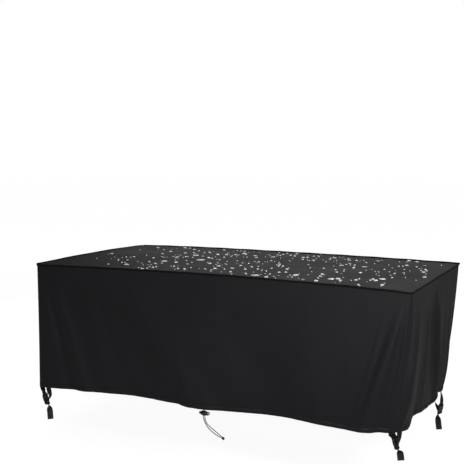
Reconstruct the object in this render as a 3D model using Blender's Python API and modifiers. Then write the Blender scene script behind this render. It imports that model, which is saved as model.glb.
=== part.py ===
# A fitted cover for a rectangular patio table: a top panel, four skirt panels drawn in at a
# tunnel hem, bound top seams, a buckled strap at each corner and a drawcord with its lock.
# Metres, +Z up. +X runs along the long side, -Y is the front. The origin is under the top's middle.

import math

import bmesh
import bpy
from mathutils import Matrix, Vector

# Driving dimensions
LENGTH = 2.10
WIDTH = 1.08
CLOTH = 0.002
SEAM_GAP = 0.0005
RIM_DROP = 0.004
RIM_INSET = 0.010
TOP_RADIUS = 0.012
SAG = 0.002
HEM_HEIGHT = 0.024
HEM_BULGE = 0.0025
WEBBING_WIDTH = 0.032
WEBBING = 0.0015
SEWN_GAP = 0.00105
CORD_DIAMETER = 0.0045

HALF_X = LENGTH / 2
HALF_Y = WIDTH / 2
QUARTER = math.pi / 4

# The rise of the top edge between its corners: metres from the side's start corner, height above
# the plane of the front left, back right and front corners. The front edge bows up.
EDGE_RISE = {
    "front": (
        (0.00, 0.000),
        (0.14, 0.005),
        (0.50, 0.013),
        (0.86, 0.019),
        (1.20, 0.022),
        (1.55, 0.019),
        (1.80, 0.016),
        (1.96, 0.012),
        (2.10, 0.006),
    ),
    "right": ((0.00, 0.006), (0.54, 0.004), (1.08, 0.000)),
    "back": ((0.00, 0.000), (0.50, 0.005), (1.05, 0.006), (1.60, 0.004), (2.00, -0.003), (2.10, -0.007)),
    "left": ((0.00, -0.007), (0.10, -0.002), (0.30, 0.003), (0.54, 0.005), (0.80, 0.004), (1.08, 0.000)),
}

# How far each corner of the hem is drawn in along X and along Y, its radius, and its depth.
CORNERS = {
    #              in_x   in_y   radius  drop
    "front_left": (-0.012, 0.000, 0.030, 0.700),
    "front_right": (0.060, 0.120, 0.130, 0.689),
    "back_right": (0.047, 0.100, 0.100, 0.690),
    "back_left": (0.045, 0.070, 0.080, 0.694),
}

# Each side runs from its start corner to its end corner, seen from above anticlockwise.
SIDES = {
    #         start          end            length  columns rows
    "front": ("front_left", "front_right", LENGTH, 52, 9),
    "right": ("front_right", "back_right", WIDTH, 36, 9),
    "back": ("back_right", "back_left", LENGTH, 40, 7),
    "left": ("back_left", "front_left", WIDTH, 24, 7),
}

# The hem between the corners: metres from the start corner, how far it is drawn in, its depth.
HEMS = {
    "front": (
        (0.19, 0.015, 0.693),
        (0.38, 0.037, 0.689),
        (0.60, 0.070, 0.688),
        (0.77, 0.069, 0.690),
        (1.00, 0.064, 0.696),
        (1.15, 0.078, 0.692),
        (1.31, 0.095, 0.686),
        (1.48, 0.095, 0.682),
        (1.65, 0.089, 0.686),
        (1.78, 0.090, 0.690),
        (1.93, 0.106, 0.689),
    ),
    "right": (
        (0.22, 0.062, 0.691),
        (0.30, 0.060, 0.689),
        (0.37, 0.062, 0.669),
        (0.45, 0.056, 0.674),
        (0.56, 0.042, 0.679),
        (0.66, 0.038, 0.690),
        (0.73, 0.044, 0.669),
        (0.84, 0.045, 0.680),
        (0.95, 0.042, 0.689),
    ),
    "back": (
        (0.25, 0.085, 0.688),
        (0.55, 0.070, 0.684),
        (0.85, 0.078, 0.690),
        (1.10, 0.062, 0.695),
        (1.35, 0.075, 0.690),
        (1.60, 0.060, 0.686),
        (1.85, 0.066, 0.690),
    ),
    "left": (
        (0.22, 0.042, 0.690),
        (0.40, 0.034, 0.685),
        (0.60, 0.042, 0.691),
        (0.80, 0.026, 0.694),
        (0.98, 0.006, 0.699),
    ),
}

# Folds: metres from the start corner at the top and at the hem, the power of the line between,
# half width at the top and at the hem, how far it stands out (a trough is below 0), where it starts
# and where it is full, from 0 at the top to 1 at the hem.
FOLDS = {
    "front": (
        (0.00, 0.21, 0.6, 0.022, 0.040, -0.010, 0.05, 0.50),
        (0.05, 0.30, 0.6, 0.030, 0.050, 0.010, 0.05, 0.50),
        (0.56, 0.98, 1.0, 0.130, 0.110, 0.009, 0.00, 0.30),
        (0.86, 0.86, 1.0, 0.020, 0.030, -0.009, 0.68, 0.95),
        (0.92, 0.93, 1.0, 0.020, 0.035, 0.006, 0.68, 0.95),
        (1.20, 1.45, 1.0, 0.120, 0.150, -0.006, 0.20, 0.80),
        (1.66, 1.62, 1.0, 0.120, 0.110, 0.006, 0.30, 0.90),
        (2.06, 1.85, 1.2, 0.014, 0.042, 0.016, 0.02, 0.60),
        (2.08, 1.93, 1.25, 0.010, 0.028, -0.013, 0.02, 0.60),
    ),
    "right": (
        (0.09, 0.09, 1.0, 0.022, 0.030, -0.006, 0.03, 0.45),
        (0.17, 0.15, 1.0, 0.016, 0.022, 0.009, 0.04, 0.50),
        (0.30, 0.33, 1.0, 0.070, 0.060, -0.010, 0.10, 0.70),
        (0.42, 0.62, 1.0, 0.045, 0.050, -0.010, 0.03, 0.40),
        (0.51, 0.72, 1.0, 0.028, 0.040, 0.016, 0.02, 0.35),
        (0.70, 0.82, 1.0, 0.060, 0.050, -0.008, 0.10, 0.60),
        (0.90, 0.93, 1.0, 0.040, 0.040, 0.008, 0.10, 0.70),
    ),
    "back": (
        (0.04, 0.20, 1.2, 0.014, 0.040, -0.012, 0.02, 0.60),
        (0.08, 0.30, 1.2, 0.020, 0.045, 0.013, 0.02, 0.60),
        (0.60, 0.75, 1.0, 0.110, 0.120, 0.008, 0.10, 0.70),
        (1.10, 1.15, 1.0, 0.090, 0.060, -0.008, 0.20, 0.80),
        (1.50, 1.40, 1.0, 0.100, 0.110, 0.007, 0.10, 0.70),
        (2.05, 1.88, 1.2, 0.014, 0.038, 0.013, 0.02, 0.60),
    ),
    "left": (
        (0.06, 0.16, 1.1, 0.016, 0.032, 0.010, 0.02, 0.60),
        (0.36, 0.42, 1.0, 0.040, 0.040, -0.009, 0.10, 0.60),
        (0.55, 0.58, 1.0, 0.040, 0.045, 0.011, 0.10, 0.60),
        (0.85, 0.82, 1.0, 0.050, 0.040, -0.007, 0.20, 0.80),
    ),
}

# The bindings: how far each stands above the top surface, its height, and how far it runs past
# its start corner as an ear.
BINDINGS = {
    "front": (0.0005, 0.010, 0.0),
    "right": (0.0010, 0.008, 0.0),
    "back": (0.0060, 0.010, 0.009),
    "left": (0.0050, 0.010, 0.0),
}

# The corner straps. Each root is a side of the skirt and metres along its hem from its start seam,
# or from its end seam if below 0. below is how far a strap hangs straight under the hem, and lead
# the short strap's straight run above the socket. bar is the buckle's ladder bar, yaw turns the
# buckle about Z, lean tips its head along its own X, and facing says which way that looks. way is
# the long strap's twist to the right or the left, late how near the buckle it comes, and bulge its
# sway along X and Y. end is the tail's end, and turn its twist there in degrees.
STRAPS = {
    "front_left": {
        "short": ("left", -0.022),
        "long": ("front", 0.068),
        "below": 0.007,
        "lead": 0.021,
        "bar": (-1.012, -0.520, -0.790),
        "yaw": 8,
        "lean": -17,
        "facing": 1,
        "way": -1,
        "late": 2.0,
        "bulge": (0.010, 0.000),
        "end": (-0.981, -0.530, -0.879),
        "turn": 122,
    },
    "front_right": {
        "short": ("front", -0.022),
        "long": ("right", 0.020),
        "below": 0.007,
        "lead": 0.006,
        "bar": (0.953, -0.378, -0.760),
        "yaw": -10,
        "lean": -16,
        "facing": 1,
        "way": 1,
        "late": 0.7,
        "bulge": (0.002, 0.000),
        "end": (0.977, -0.386, -0.818),
        "turn": 114,
    },
    "back_right": {
        "short": ("right", -0.052),
        "long": ("back", 0.022),
        "below": 0.007,
        "lead": 0.021,
        "bar": (0.994, 0.392, -0.819),
        "yaw": -20,
        "lean": 8,
        "facing": -1,
        "way": -1,
        "late": 2.0,
        "bulge": (-0.014, 0.000),
        "end": (0.994, 0.388, -0.915),
        "turn": 121,
    },
    "back_left": {
        "short": ("back", -0.028),
        "long": ("left", 0.030),
        "below": 0.007,
        "lead": 0.021,
        "bar": (-0.972, 0.444, -0.800),
        "yaw": 0,
        "lean": 8,
        "facing": -1,
        "way": 1,
        "late": 1.0,
        "bulge": (-0.008, 0.000),
        "end": (-1.000, 0.440, -0.886),
        "turn": -65,
    },
}

# Buckle sizes, from the ladder bar's middle, which is at the buckle's own origin.
BUCKLE_HALF_WIDTH = 0.020
SLOT_HALF_WIDTH = 0.0166
BAR_HALF = 0.0016
SLOT_OUTER = 0.0039
PLUG_HALF_THICK = 0.003
SOCKET_HALF_THICK = 0.006
SOCKET_FOOT = 0.0125
SOCKET_HEAD = 0.048
HEAD_BAR_HALF = 0.0016
HEAD_BAR = 0.0033
SOCKET_SLOT = 0.0030

# The long strap's way round the ladder bar, across and up from the bar's middle, in millimetres.
LADDER_ROUTE = (
    (7.6, 12.0),
    (6.6, 8.0),
    (5.4, 4.8),
    (4.4, 3.3),
    (3.2, 2.75),
    (0.0, 2.7),
    (-3.4, 2.75),
    (-4.25, 1.7),
    (-4.4, 0.0),
    (-4.25, -1.7),
    (-3.4, -2.75),
    (0.0, -2.7),
    (3.2, -2.75),
    (4.4, -3.4),
    (5.3, -5.2),
    (5.6, -9.0),
)

# The cord lock and the route of the drawcord, which leaves the tunnel hem on its inner side.
LOCK_CENTRE = (-0.022, -0.4768, -0.7145)
LOCK_HALF = (0.0175, 0.0100, 0.0130)
CORD_HOLE_RADIUS = 0.0028
CORD_HOLE_APART = 0.0095
BUTTON_RADIUS = 0.0070
BUTTON_BORE = 0.0095
BUTTON_TRAVEL = 0.0045
CORD_TIP = (0.0884, -0.4768, -0.8303)
CRIMP = (0.0145, 0.0070, 0.0125)
CORD_ROUTES = {
    "drawcord_left": (
        (-0.0265, -0.4773, -0.6840),
        (-0.0267, -0.4770, -0.6980),
        (-0.0267, -0.4768, -0.7145),
        (-0.0266, -0.4768, -0.7290),
        (-0.0245, -0.4764, -0.7420),
        (-0.0210, -0.4759, -0.7540),
        (-0.0155, -0.4755, -0.7660),
        (-0.0085, -0.4753, -0.7775),
        (0.0010, -0.4753, -0.7885),
        (0.0120, -0.4755, -0.7975),
        (0.0240, -0.4758, -0.8055),
        (0.0370, -0.4763, -0.8130),
        (0.0500, -0.4766, -0.8190),
        (0.0630, -0.4768, -0.8238),
        (0.0725, -0.4768, -0.8262),
        (0.0801, -0.4768, -0.8284),
    ),
    "drawcord_right": (
        (-0.0175, -0.4760, -0.6840),
        (-0.0173, -0.4764, -0.6980),
        (-0.0173, -0.4768, -0.7145),
        (-0.0173, -0.4768, -0.7290),
        (-0.0160, -0.4772, -0.7415),
        (-0.0125, -0.4778, -0.7525),
        (-0.0070, -0.4781, -0.7625),
        (0.0005, -0.4782, -0.7715),
        (0.0100, -0.4782, -0.7790),
        (0.0210, -0.4781, -0.7860),
        (0.0330, -0.4778, -0.7935),
        (0.0455, -0.4775, -0.8015),
        (0.0580, -0.4771, -0.8092),
        (0.0700, -0.4768, -0.8165),
        (0.0780, -0.4768, -0.8212),
        (0.0830, -0.4768, -0.8241),
    ),
}


def clear_scene():
    for obj in list(bpy.data.objects):
        bpy.data.objects.remove(obj)


def collection(name):
    made = bpy.data.collections.new(name)
    bpy.context.scene.collection.children.link(made)
    return made


def material(name, color, roughness):
    made = bpy.data.materials.new(name)
    made.use_nodes = True
    shader = made.node_tree.nodes["Principled BSDF"]
    shader.inputs["Base Color"].default_value = (*color, 1.0)
    shader.inputs["Roughness"].default_value = roughness
    shader.inputs["Metallic"].default_value = 0.0
    return made


def smooth(x):
    x = min(max(x, 0.0), 1.0)
    return x * x * (3 - 2 * x)


def read_curve(rows, at):
    """Reads a smooth curve through rows of (place, value) at one place."""
    if at <= rows[0][0]:
        return rows[0][1]
    if at >= rows[-1][0]:
        return rows[-1][1]
    k = max(i for i in range(len(rows) - 1) if rows[i][0] <= at)
    (x0, y0), (x1, y1) = rows[k], rows[k + 1]
    before = rows[k - 1] if k > 0 else rows[k]
    after = rows[k + 2] if k + 2 < len(rows) else rows[k + 1]
    slope0 = (y1 - before[1]) / (x1 - before[0])
    slope1 = (after[1] - y0) / (after[0] - x0)
    span = x1 - x0
    u = (at - x0) / span
    h00 = 2 * u**3 - 3 * u**2 + 1
    h10 = u**3 - 2 * u**2 + u
    h01 = 3 * u**2 - 2 * u**3
    h11 = u**3 - u**2
    return h00 * y0 + h10 * span * slope0 + h01 * y1 + h11 * span * slope1


def top_height(x, y):
    """The height of the top's outer face, stretched between its four uneven edges."""
    u = min(max((x + HALF_X) / LENGTH, 0.0), 1.0)
    v = min(max((y + HALF_Y) / WIDTH, 0.0), 1.0)
    front = read_curve(EDGE_RISE["front"], u * LENGTH)
    back = read_curve(EDGE_RISE["back"], (1 - u) * LENGTH)
    right = read_curve(EDGE_RISE["right"], v * WIDTH)
    left = read_curve(EDGE_RISE["left"], (1 - v) * WIDTH)
    front_ends = (1 - u) * EDGE_RISE["front"][0][1] + u * EDGE_RISE["front"][-1][1]
    back_ends = (1 - u) * EDGE_RISE["back"][-1][1] + u * EDGE_RISE["back"][0][1]
    ends = (1 - v) * front_ends + v * back_ends
    stretched = (1 - v) * front + v * back + (1 - u) * left + u * right - ends
    away = smooth(min(u * LENGTH, (1 - u) * LENGTH, v * WIDTH, (1 - v) * WIDTH) / 0.25)
    return stretched + SAG * math.sin(2.1 * x + 0.4) * math.sin(3.3 * y + 1.0) * away


def taper(t):
    """How much of the hem's draw-in is reached at t, from 0 at the top to 1 at the hem."""
    return 0.45 * t + 0.55 * t**2.5


def to_world(side, along, out, z):
    """A point given along and out from a side's top edge, in the row frame."""
    if side == "front":
        return Vector((along - HALF_X, -HALF_Y - out, z))
    if side == "right":
        return Vector((HALF_X + out, along - HALF_Y, z))
    if side == "back":
        return Vector((HALF_X - along, HALF_Y + out, z))
    return Vector((-HALF_X - out, HALF_Y - along, z))


def corner_draw(side, corner):
    """How far a corner is drawn in across the side and along it, its hem radius and its drop."""
    in_x, in_y, radius, drop = CORNERS[corner]
    if side in ("front", "back"):
        return in_y, in_x, radius, drop
    return in_x, in_y, radius, drop


def fold_relief(side, along, seam_away, t):
    """How far the folds stand out at a place on a side. It is nothing at the corner seams."""
    relief = 0.0
    for top, hem, power, wide_top, wide_hem, height, start, full in FOLDS[side]:
        at = top + (hem - top) * t**power
        wide = wide_top + (wide_hem - wide_top) * t
        rise = smooth((t - start) / (full - start))
        relief += height * rise * math.exp(-(((along - at) / wide) ** 2))
    return relief * smooth(seam_away / 0.03)


def hem_bulge(t, drop):
    """The tunnel hem's soft roll, part of the cloth."""
    start = 1 - HEM_HEIGHT / drop
    if t <= start:
        return 0.0
    return HEM_BULGE * math.sin(math.pi * min((t - start) / (1 - start), 1.0)) ** 0.5


def side_run(side, t):
    """A level line round a side: where it starts and ends, its two radii and its length."""
    start, end, length = SIDES[side][:3]
    first = corner_draw(side, start)[1] * taper(t)
    last = length - corner_draw(side, end)[1] * taper(t)
    round_start = TOP_RADIUS + (corner_draw(side, start)[2] - TOP_RADIUS) * t
    round_end = TOP_RADIUS + (corner_draw(side, end)[2] - TOP_RADIUS) * t
    whole = last - first - (1 - QUARTER) * (round_start + round_end)
    return first, last, round_start, round_end, whole


def skirt_point(side, share, t, rolled=True):
    """The outer surface of a side: share runs along it, t from its top edge to its hem."""
    start, end, length = SIDES[side][:3]
    in_start, _, _, drop_start = corner_draw(side, start)
    in_end, _, _, drop_end = corner_draw(side, end)
    pulled = taper(t)
    first, last, round_start, round_end, whole = side_run(side, t)
    gone = share * whole
    arc_start = QUARTER * round_start
    arc_end = whole - QUARTER * round_end
    fall_start = fall_end = 0.0
    blend_start = blend_end = 1.0
    if gone < arc_start:
        angle = QUARTER + gone / round_start
        along = first + round_start * (1 - math.cos(angle))
        fall_start = round_start * (1 - math.sin(angle))
        blend_start = smooth(gone / arc_start)
    elif gone > arc_end:
        angle = QUARTER + (whole - gone) / round_end
        along = last - round_end * (1 - math.cos(angle))
        fall_end = round_end * (1 - math.sin(angle))
        blend_end = smooth((whole - gone) / (whole - arc_end))
    else:
        along = first + round_start + gone - arc_start
    hem = [(0.0, in_start, drop_start), *HEMS[side], (length, in_end, drop_end)]
    drawn = read_curve([(row[0], row[1]) for row in hem], along)
    drop = read_curve([(row[0], row[2]) for row in hem], along)
    drawn = in_start + (drawn - in_start) * blend_start
    drawn = in_end + (drawn - in_end) * blend_end
    drop = drop_start + (drop - drop_start) * blend_start
    drop = drop_end + (drop - drop_end) * blend_end
    out = fold_relief(side, along, min(gone, whole - gone), t) - drawn * pulled
    if rolled:
        out += hem_bulge(t, drop) * smooth(min(gone, whole - gone) / 0.015)
    place = to_world(side, along, out - fall_start - fall_end, 0.0)
    top = top_height(place.x, place.y) - RIM_DROP - SEAM_GAP
    place.z = top + (-drop - top) * t
    return place


def skirt_frame(side, share, t, rolled=True):
    """A point of a side with its unit vectors along the side and outwards."""
    step = 0.002
    before = skirt_point(side, max(share - step, 0.0), t, rolled)
    after = skirt_point(side, min(share + step, 1.0), t, rolled)
    along = (after - before).normalized()
    out = along.cross(Vector((0, 0, 1))).normalized()
    return skirt_point(side, share, t, rolled), along, out


def graded(k, count, closeness):
    """The k-th of count steps from 0 to 1, closer together at both ends."""
    x = k / count
    return x - closeness * math.sin(2 * math.pi * x) / (2 * math.pi)


def grid_object(name, across, down, place, parts, finish):
    """A named sheet: a grid whose points are moved to place(column, row)."""
    mesh = bpy.data.meshes.new(name)
    cloth = bmesh.new()
    bmesh.ops.create_grid(cloth, x_segments=across, y_segments=down, size=0.5)
    for vert in cloth.verts:
        column = round((vert.co.x + 0.5) * across)
        row = round((0.5 - vert.co.y) * down)
        vert.co = place(column, row)
    cloth.to_mesh(mesh)
    cloth.free()
    mesh.materials.append(finish)
    mesh.shade_smooth()
    sheet = bpy.data.objects.new(name, mesh)
    parts.objects.link(sheet)
    return sheet


def thicken(sheet, thickness, offset):
    solid = sheet.modifiers.new("thickness", "SOLIDIFY")
    solid.thickness = thickness
    solid.offset = offset
    solid.use_even_offset = True
    return sheet


def side_shares(side):
    """Where the columns of a side stand: close together at its two corners."""
    length, columns = SIDES[side][2:4]
    inset = SEAM_GAP / length
    inner = [graded(k, columns, 0.72) for k in range(1, columns)]
    first = inner[0]
    ends = [0.0, 0.25 * first, 0.55 * first]
    shares = ends + inner + [1 - share for share in reversed(ends)]
    return [inset + (1 - 2 * inset) * share for share in shares]


def make_skirt_panel(side, parts, finish):
    """One side of the skirt: rows close up at the tunnel hem, columns at the corners."""
    rows = SIDES[side][4]
    stitch = 1 - HEM_HEIGHT / 0.69
    heights = [stitch * k / rows for k in range(rows + 1)] + [stitch + 0.004, 0.985, 1.0]
    shares = side_shares(side)

    def place(column, row):
        return skirt_point(side, shares[column], heights[row])

    panel = grid_object(f"skirt_{side}", len(shares) - 1, len(heights) - 1, place, parts, finish)
    return thicken(panel, CLOTH, -1)


def rounded(a, b):
    """Moves a point, given by its distances from two edges, onto the top's rounded corner."""
    if a >= TOP_RADIUS or b >= TOP_RADIUS:
        return a, b
    depth = min(a, b)
    radius = TOP_RADIUS - depth
    angle = QUARTER * (TOP_RADIUS - max(a, b)) / radius
    near = TOP_RADIUS - radius * math.cos(angle)
    far = TOP_RADIUS - radius * math.sin(angle)
    return (near, far) if a <= b else (far, near)


def rim_steps(count, length):
    """Distances of the top's grid lines from one edge, with the rim's three close lines."""
    between = length - 2 * RIM_INSET
    middle = [RIM_INSET + between * graded(k, count, 0.3) for k in range(count + 1)]
    return [0.0, 0.0001, 0.0018] + middle + [length - 0.0018, length - 0.0001, length]


def make_top_panel(parts, finish):
    """The top: nearly flat, with a rim that turns down to meet the skirt."""
    falls = (RIM_DROP, 0.0022, 0.0006, 0.0)
    across = rim_steps(20, LENGTH)
    down = rim_steps(10, WIDTH)

    def place(column, row):
        ring = min(column, row, len(across) - 1 - column, len(down) - 1 - row, 3)
        left = column < len(across) / 2
        back = row < len(down) / 2
        a = across[column] if left else LENGTH - across[column]
        b = down[row] if back else WIDTH - down[row]
        a, b = rounded(a, b)
        x = a - HALF_X if left else HALF_X - a
        y = HALF_Y - b if back else b - HALF_Y
        return Vector((x, y, top_height(x, y) - falls[ring]))

    panel = grid_object("top_panel", len(across) - 1, len(down) - 1, place, parts, finish)
    return thicken(panel, CLOTH, -1)


def make_binding(side, parts, finish):
    """The bound seam along one top edge, just outside the joint of top and skirt."""
    above, height, ear = BINDINGS[side]
    shares = side_shares(side)
    stand_off = SEAM_GAP + 0.0004
    along_side = to_world(side, 1.0, 0.0, 0.0) - to_world(side, 0.0, 0.0, 0.0)
    out_of_side = to_world(side, 0.0, 1.0, 0.0) - to_world(side, 0.0, 0.0, 0.0)
    turn_at = 0.03

    def place(column, row):
        share = shares[column]
        spot, along, out = skirt_frame(side, share, 0.0)
        if ear and share < turn_at:
            corner_spot = skirt_point(side, turn_at, 0.0)
            behind = (1 - share / turn_at) * (turn_at * SIDES[side][2] + ear)
            spot = corner_spot - along_side * behind
            out = out_of_side
        edge = top_height(spot.x, spot.y)
        ripple = 0.0006 * math.sin(31 * spot.x + 17 * spot.y)
        corner_point = spot + out * stand_off
        corner_point.z = edge + above + ripple - height * row
        return corner_point

    band = grid_object(f"binding_{side}", len(shares) - 1, 1, place, parts, finish)
    return thicken(band, CLOTH, 1)


def make_ribbon(name, stations, parts, finish):
    """A strap: a sheet three points wide along stations of (middle, across, bend)."""

    def place(column, row):
        middle, across, bend = stations[row]
        return middle + across * WEBBING_WIDTH * (column - 1) / 2 + bend[column]

    strap = grid_object(name, 2, len(stations) - 1, place, parts, finish)
    return thicken(strap, WEBBING, 0)


def smooth_route(route, count):
    """Points along a smooth curve through the route's own points."""
    lengths = [0.0]
    for a, b in zip(route, route[1:]):
        lengths.append(lengths[-1] + (Vector(b) - Vector(a)).length)
    axes = [[(s, point[axis]) for s, point in zip(lengths, route)] for axis in range(3)]
    places = [lengths[-1] * k / (count - 1) for k in range(count)]
    return [Vector([read_curve(rows, s) for rows in axes]) for s in places]


def buckle_matrix(row):
    """Where a buckle hangs: its own +X looks to its long strap, and its head leans."""
    yaw = Matrix.Rotation(math.radians(row["yaw"]), 4, "Z")
    lean = Matrix.Rotation(math.radians(row["lean"]), 4, "Y")
    facing = Matrix.Rotation(0.0 if row["facing"] > 0 else math.pi, 4, "Z")
    return Matrix.Translation(row["bar"]) @ yaw @ lean @ facing


def hem_share(side, metres):
    """The share of a side at a distance along its hem from its start, or from its end if below 0."""
    share = metres / side_run(side, 1.0)[4]
    return share if metres > 0 else 1 + share


def inside_hem(side, metres, t):
    """A place on the inner face of the hem, where a strap is sewn on, and the way along the hem."""
    spot, along, out = skirt_frame(side, hem_share(side, metres), t, False)
    return spot - out * (CLOTH + SEWN_GAP + WEBBING / 2), along


def root_stations(root, below):
    """A strap's sewn end, which follows the cloth from inside the hem to just under its edge."""
    side, metres = root
    made = []
    for t in (0.969, 0.985, 1.0):
        middle, tangent = inside_hem(side, metres, t)
        bend = []
        for reach in (-WEBBING_WIDTH / 2, 0.0, WEBBING_WIDTH / 2):
            bend.append(inside_hem(side, metres + reach, t)[0] - middle - tangent * reach)
        made.append((middle, tangent, bend))
    middle, tangent, bend = made[-1]
    made.append((middle - Vector((0, 0, below)), tangent, bend))
    return made


def turned(across, target, amount):
    """A direction part of the way from across to target."""
    return (across * (1 - amount) + target * amount).normalized()


def buckle_width(place, root_across):
    """The buckle's width direction, taken the way that twists the strap least."""
    width_way = place.to_3x3() @ Vector((0, 1, 0))
    return width_way if width_way.dot(root_across) > 0 else -width_way


def square_to(route, acrosses, bends):
    """Stations of a strap, with each across direction made square to the route there."""
    made = []
    for k, point in enumerate(route):
        ahead = (route[min(k + 1, len(route) - 1)] - route[max(k - 1, 0)]).normalized()
        across = (acrosses[k] - ahead * acrosses[k].dot(ahead)).normalized()
        made.append((point, across, bends[k]))
    return made


def strap_stations(roots, steps, width_way, free, twists, late=1.0):
    """Joins a sewn end to a strap's free run: steps points between turn and flatten it."""
    root_end, root_across, root_bend = roots[-1]
    flat = [Vector((0, 0, 0))] * 3
    route = [station[0] for station in roots] + steps + free
    acrosses = [station[1] for station in roots]
    bends = [station[2] for station in roots]
    for k in range(len(steps)):
        amount = smooth((k + 1) / (len(steps) + 1))
        acrosses.append(turned(root_across, width_way, amount**late))
        bends.append([offset * (1 - amount) ** 2 for offset in root_bend])
    for twist in twists:
        acrosses.append(Matrix.Rotation(math.radians(twist), 3, "Z") @ width_way)
        bends.append(flat)
    return square_to(route, acrosses, bends)


def half_turn(centre_z, radius, start, end, steps):
    """Points of an arc in a buckle's X and Z, angles in degrees from +X."""
    angles = [math.radians(start + (end - start) * k / steps) for k in range(steps + 1)]
    return [Vector((radius * math.cos(a), 0, centre_z + radius * math.sin(a))) for a in angles]


def make_short_strap(corner, row, parts, finish):
    """From the hem down to the socket's head bar, round it and back up, sewn to itself."""
    place = buckle_matrix(row)
    roots = root_stations(row["short"], row["below"])
    root_end, root_across = roots[-1][:2]
    width_way = buckle_width(place, root_across)
    loop = [Vector((-0.0007, 0, SOCKET_HEAD + row["lead"]))]
    loop += half_turn(SOCKET_HEAD - HEAD_BAR / 2, 0.0035, 180, 360, 6)
    loop += [Vector((0.0023, 0, SOCKET_HEAD + 0.005)), Vector((0.0017, 0, SOCKET_HEAD + 0.010))]
    loop = [place @ point for point in loop]
    between = [root_end.lerp(loop[0], k / 4) for k in range(1, 4)]
    stations = strap_stations(roots, between, width_way, loop, [0.0] * len(loop))
    return make_ribbon(f"strap_short_{corner}", stations, parts, finish)


def make_long_strap(corner, row, parts, finish):
    """From the hem out in a bulge, round the plug's ladder bar, and down as the free tail."""
    place = buckle_matrix(row)
    roots = root_stations(row["long"], row["below"])
    root_end = roots[-1][0]
    width_way = place.to_3x3() @ Vector((0, row["way"], 0))
    sway = Vector((*row["bulge"], 0))
    through = [place @ Vector((x / 1000, 0, z / 1000)) for x, z in LADDER_ROUTE]
    middle = root_end.lerp(through[0], 0.5) + sway
    fall = smooth_route([root_end, middle, through[0]], 10)[1:-1]
    last = through[-1]
    end = Vector(row["end"])
    swing = last.lerp(end, 0.4) + sway.normalized() * 0.004
    tail = smooth_route([last, swing, end], 12)[1:]
    twists = [0.0] * len(through)
    for k in range(len(tail)):
        left = 1 - min((k + 1) / (0.6 * len(tail)), 1.0)
        twists.append(row["turn"] * (1 - left**2.2))
    stations = strap_stations(roots, fall, width_way, through + tail, twists, row["late"])
    return make_ribbon(f"strap_long_{corner}", stations, parts, finish)


def flat_outline(name, loops, half_thick, parts, finish):
    """A flat plate in a buckle's Y and Z, cut from closed outlines, made a closed mesh."""
    curve = bpy.data.curves.new(name, "CURVE")
    curve.dimensions = "2D"
    curve.fill_mode = "BOTH"
    curve.extrude = half_thick
    for loop in loops:
        spline = curve.splines.new("POLY")
        spline.points.add(len(loop) - 1)
        for point, (y, z) in zip(spline.points, loop):
            point.co = (y, z, 0.0, 1.0)
        spline.use_cyclic_u = True
    drawn = bpy.data.objects.new(f"{name}_outline", curve)
    parts.objects.link(drawn)
    bpy.context.view_layer.update()
    shown = drawn.evaluated_get(bpy.context.evaluated_depsgraph_get())
    mesh = bpy.data.meshes.new_from_object(shown)
    bpy.data.objects.remove(drawn)
    plate = bmesh.new()
    plate.from_mesh(mesh)
    bmesh.ops.remove_doubles(plate, verts=plate.verts, dist=0.00001)
    stand = Matrix(((0, 0, 1, 0), (1, 0, 0, 0), (0, 1, 0, 0), (0, 0, 0, 1)))
    bmesh.ops.transform(plate, matrix=stand, verts=plate.verts)
    plate.to_mesh(mesh)
    plate.free()
    mesh.materials.clear()
    mesh.materials.append(finish)
    return mesh


def mirrored(half):
    """A closed outline from its right half, given from the foot to the head."""
    return half + [(-y, z) for y, z in reversed(half)]


def rectangle(half_y, low, high):
    return [(-half_y, low), (half_y, low), (half_y, high), (-half_y, high)]


def make_plug_mesh(parts, finish):
    """The plug half: a ladder with two slots, two sprung arms and a middle tongue."""
    half = [
        (0.0170, -0.0078),
        (BUCKLE_HALF_WIDTH, -0.0050),
        (BUCKLE_HALF_WIDTH, 0.0095),
        (0.0185, 0.0120),
        (0.0165, 0.0120),
        (0.0162, 0.0225),
        (0.0192, 0.0250),
        (0.0188, 0.0300),
        (0.0145, 0.0335),
        (0.0128, 0.0310),
        (0.0132, 0.0135),
        (0.0030, 0.0135),
        (0.0024, 0.0330),
    ]
    slots = [
        rectangle(SLOT_HALF_WIDTH, BAR_HALF, SLOT_OUTER),
        rectangle(SLOT_HALF_WIDTH, -SLOT_OUTER, -BAR_HALF),
    ]
    return flat_outline("plug", [mirrored(half), *slots], PLUG_HALF_THICK, parts, finish)


def box_mesh(name, low, high):
    """A block between two corners, as an object."""
    mesh = bpy.data.meshes.new(name)
    block = bmesh.new()
    size = [b - a for a, b in zip(low, high)]
    middle = [(a + b) / 2 for a, b in zip(low, high)]
    bmesh.ops.create_cube(block, size=1.0, matrix=Matrix.Translation(middle) @ Matrix.Diagonal((*size, 1)))
    block.to_mesh(mesh)
    block.free()
    return bpy.data.objects.new(name, mesh)


def cut(body, cutter, cutters, operation="DIFFERENCE"):
    """A Boolean of body with cutter, which stays as a hidden helper."""
    cutters.objects.link(cutter)
    cutter.hide_render = True
    cutter.display_type = "WIRE"
    change = body.modifiers.new(cutter.name, "BOOLEAN")
    change.operation = operation
    change.solver = "EXACT"
    change.object = cutter
    return body


def applied_mesh(body, name, finish):
    """The body's evaluated mesh, with its modifiers taken in."""
    bpy.context.view_layer.update()
    shown = body.evaluated_get(bpy.context.evaluated_depsgraph_get())
    mesh = bpy.data.meshes.new_from_object(shown)
    mesh.name = name
    mesh.materials.clear()
    mesh.materials.append(finish)
    mesh.shade_smooth()
    mesh.set_sharp_from_angle(angle=math.radians(35))
    bpy.data.objects.remove(body)
    return mesh


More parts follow.
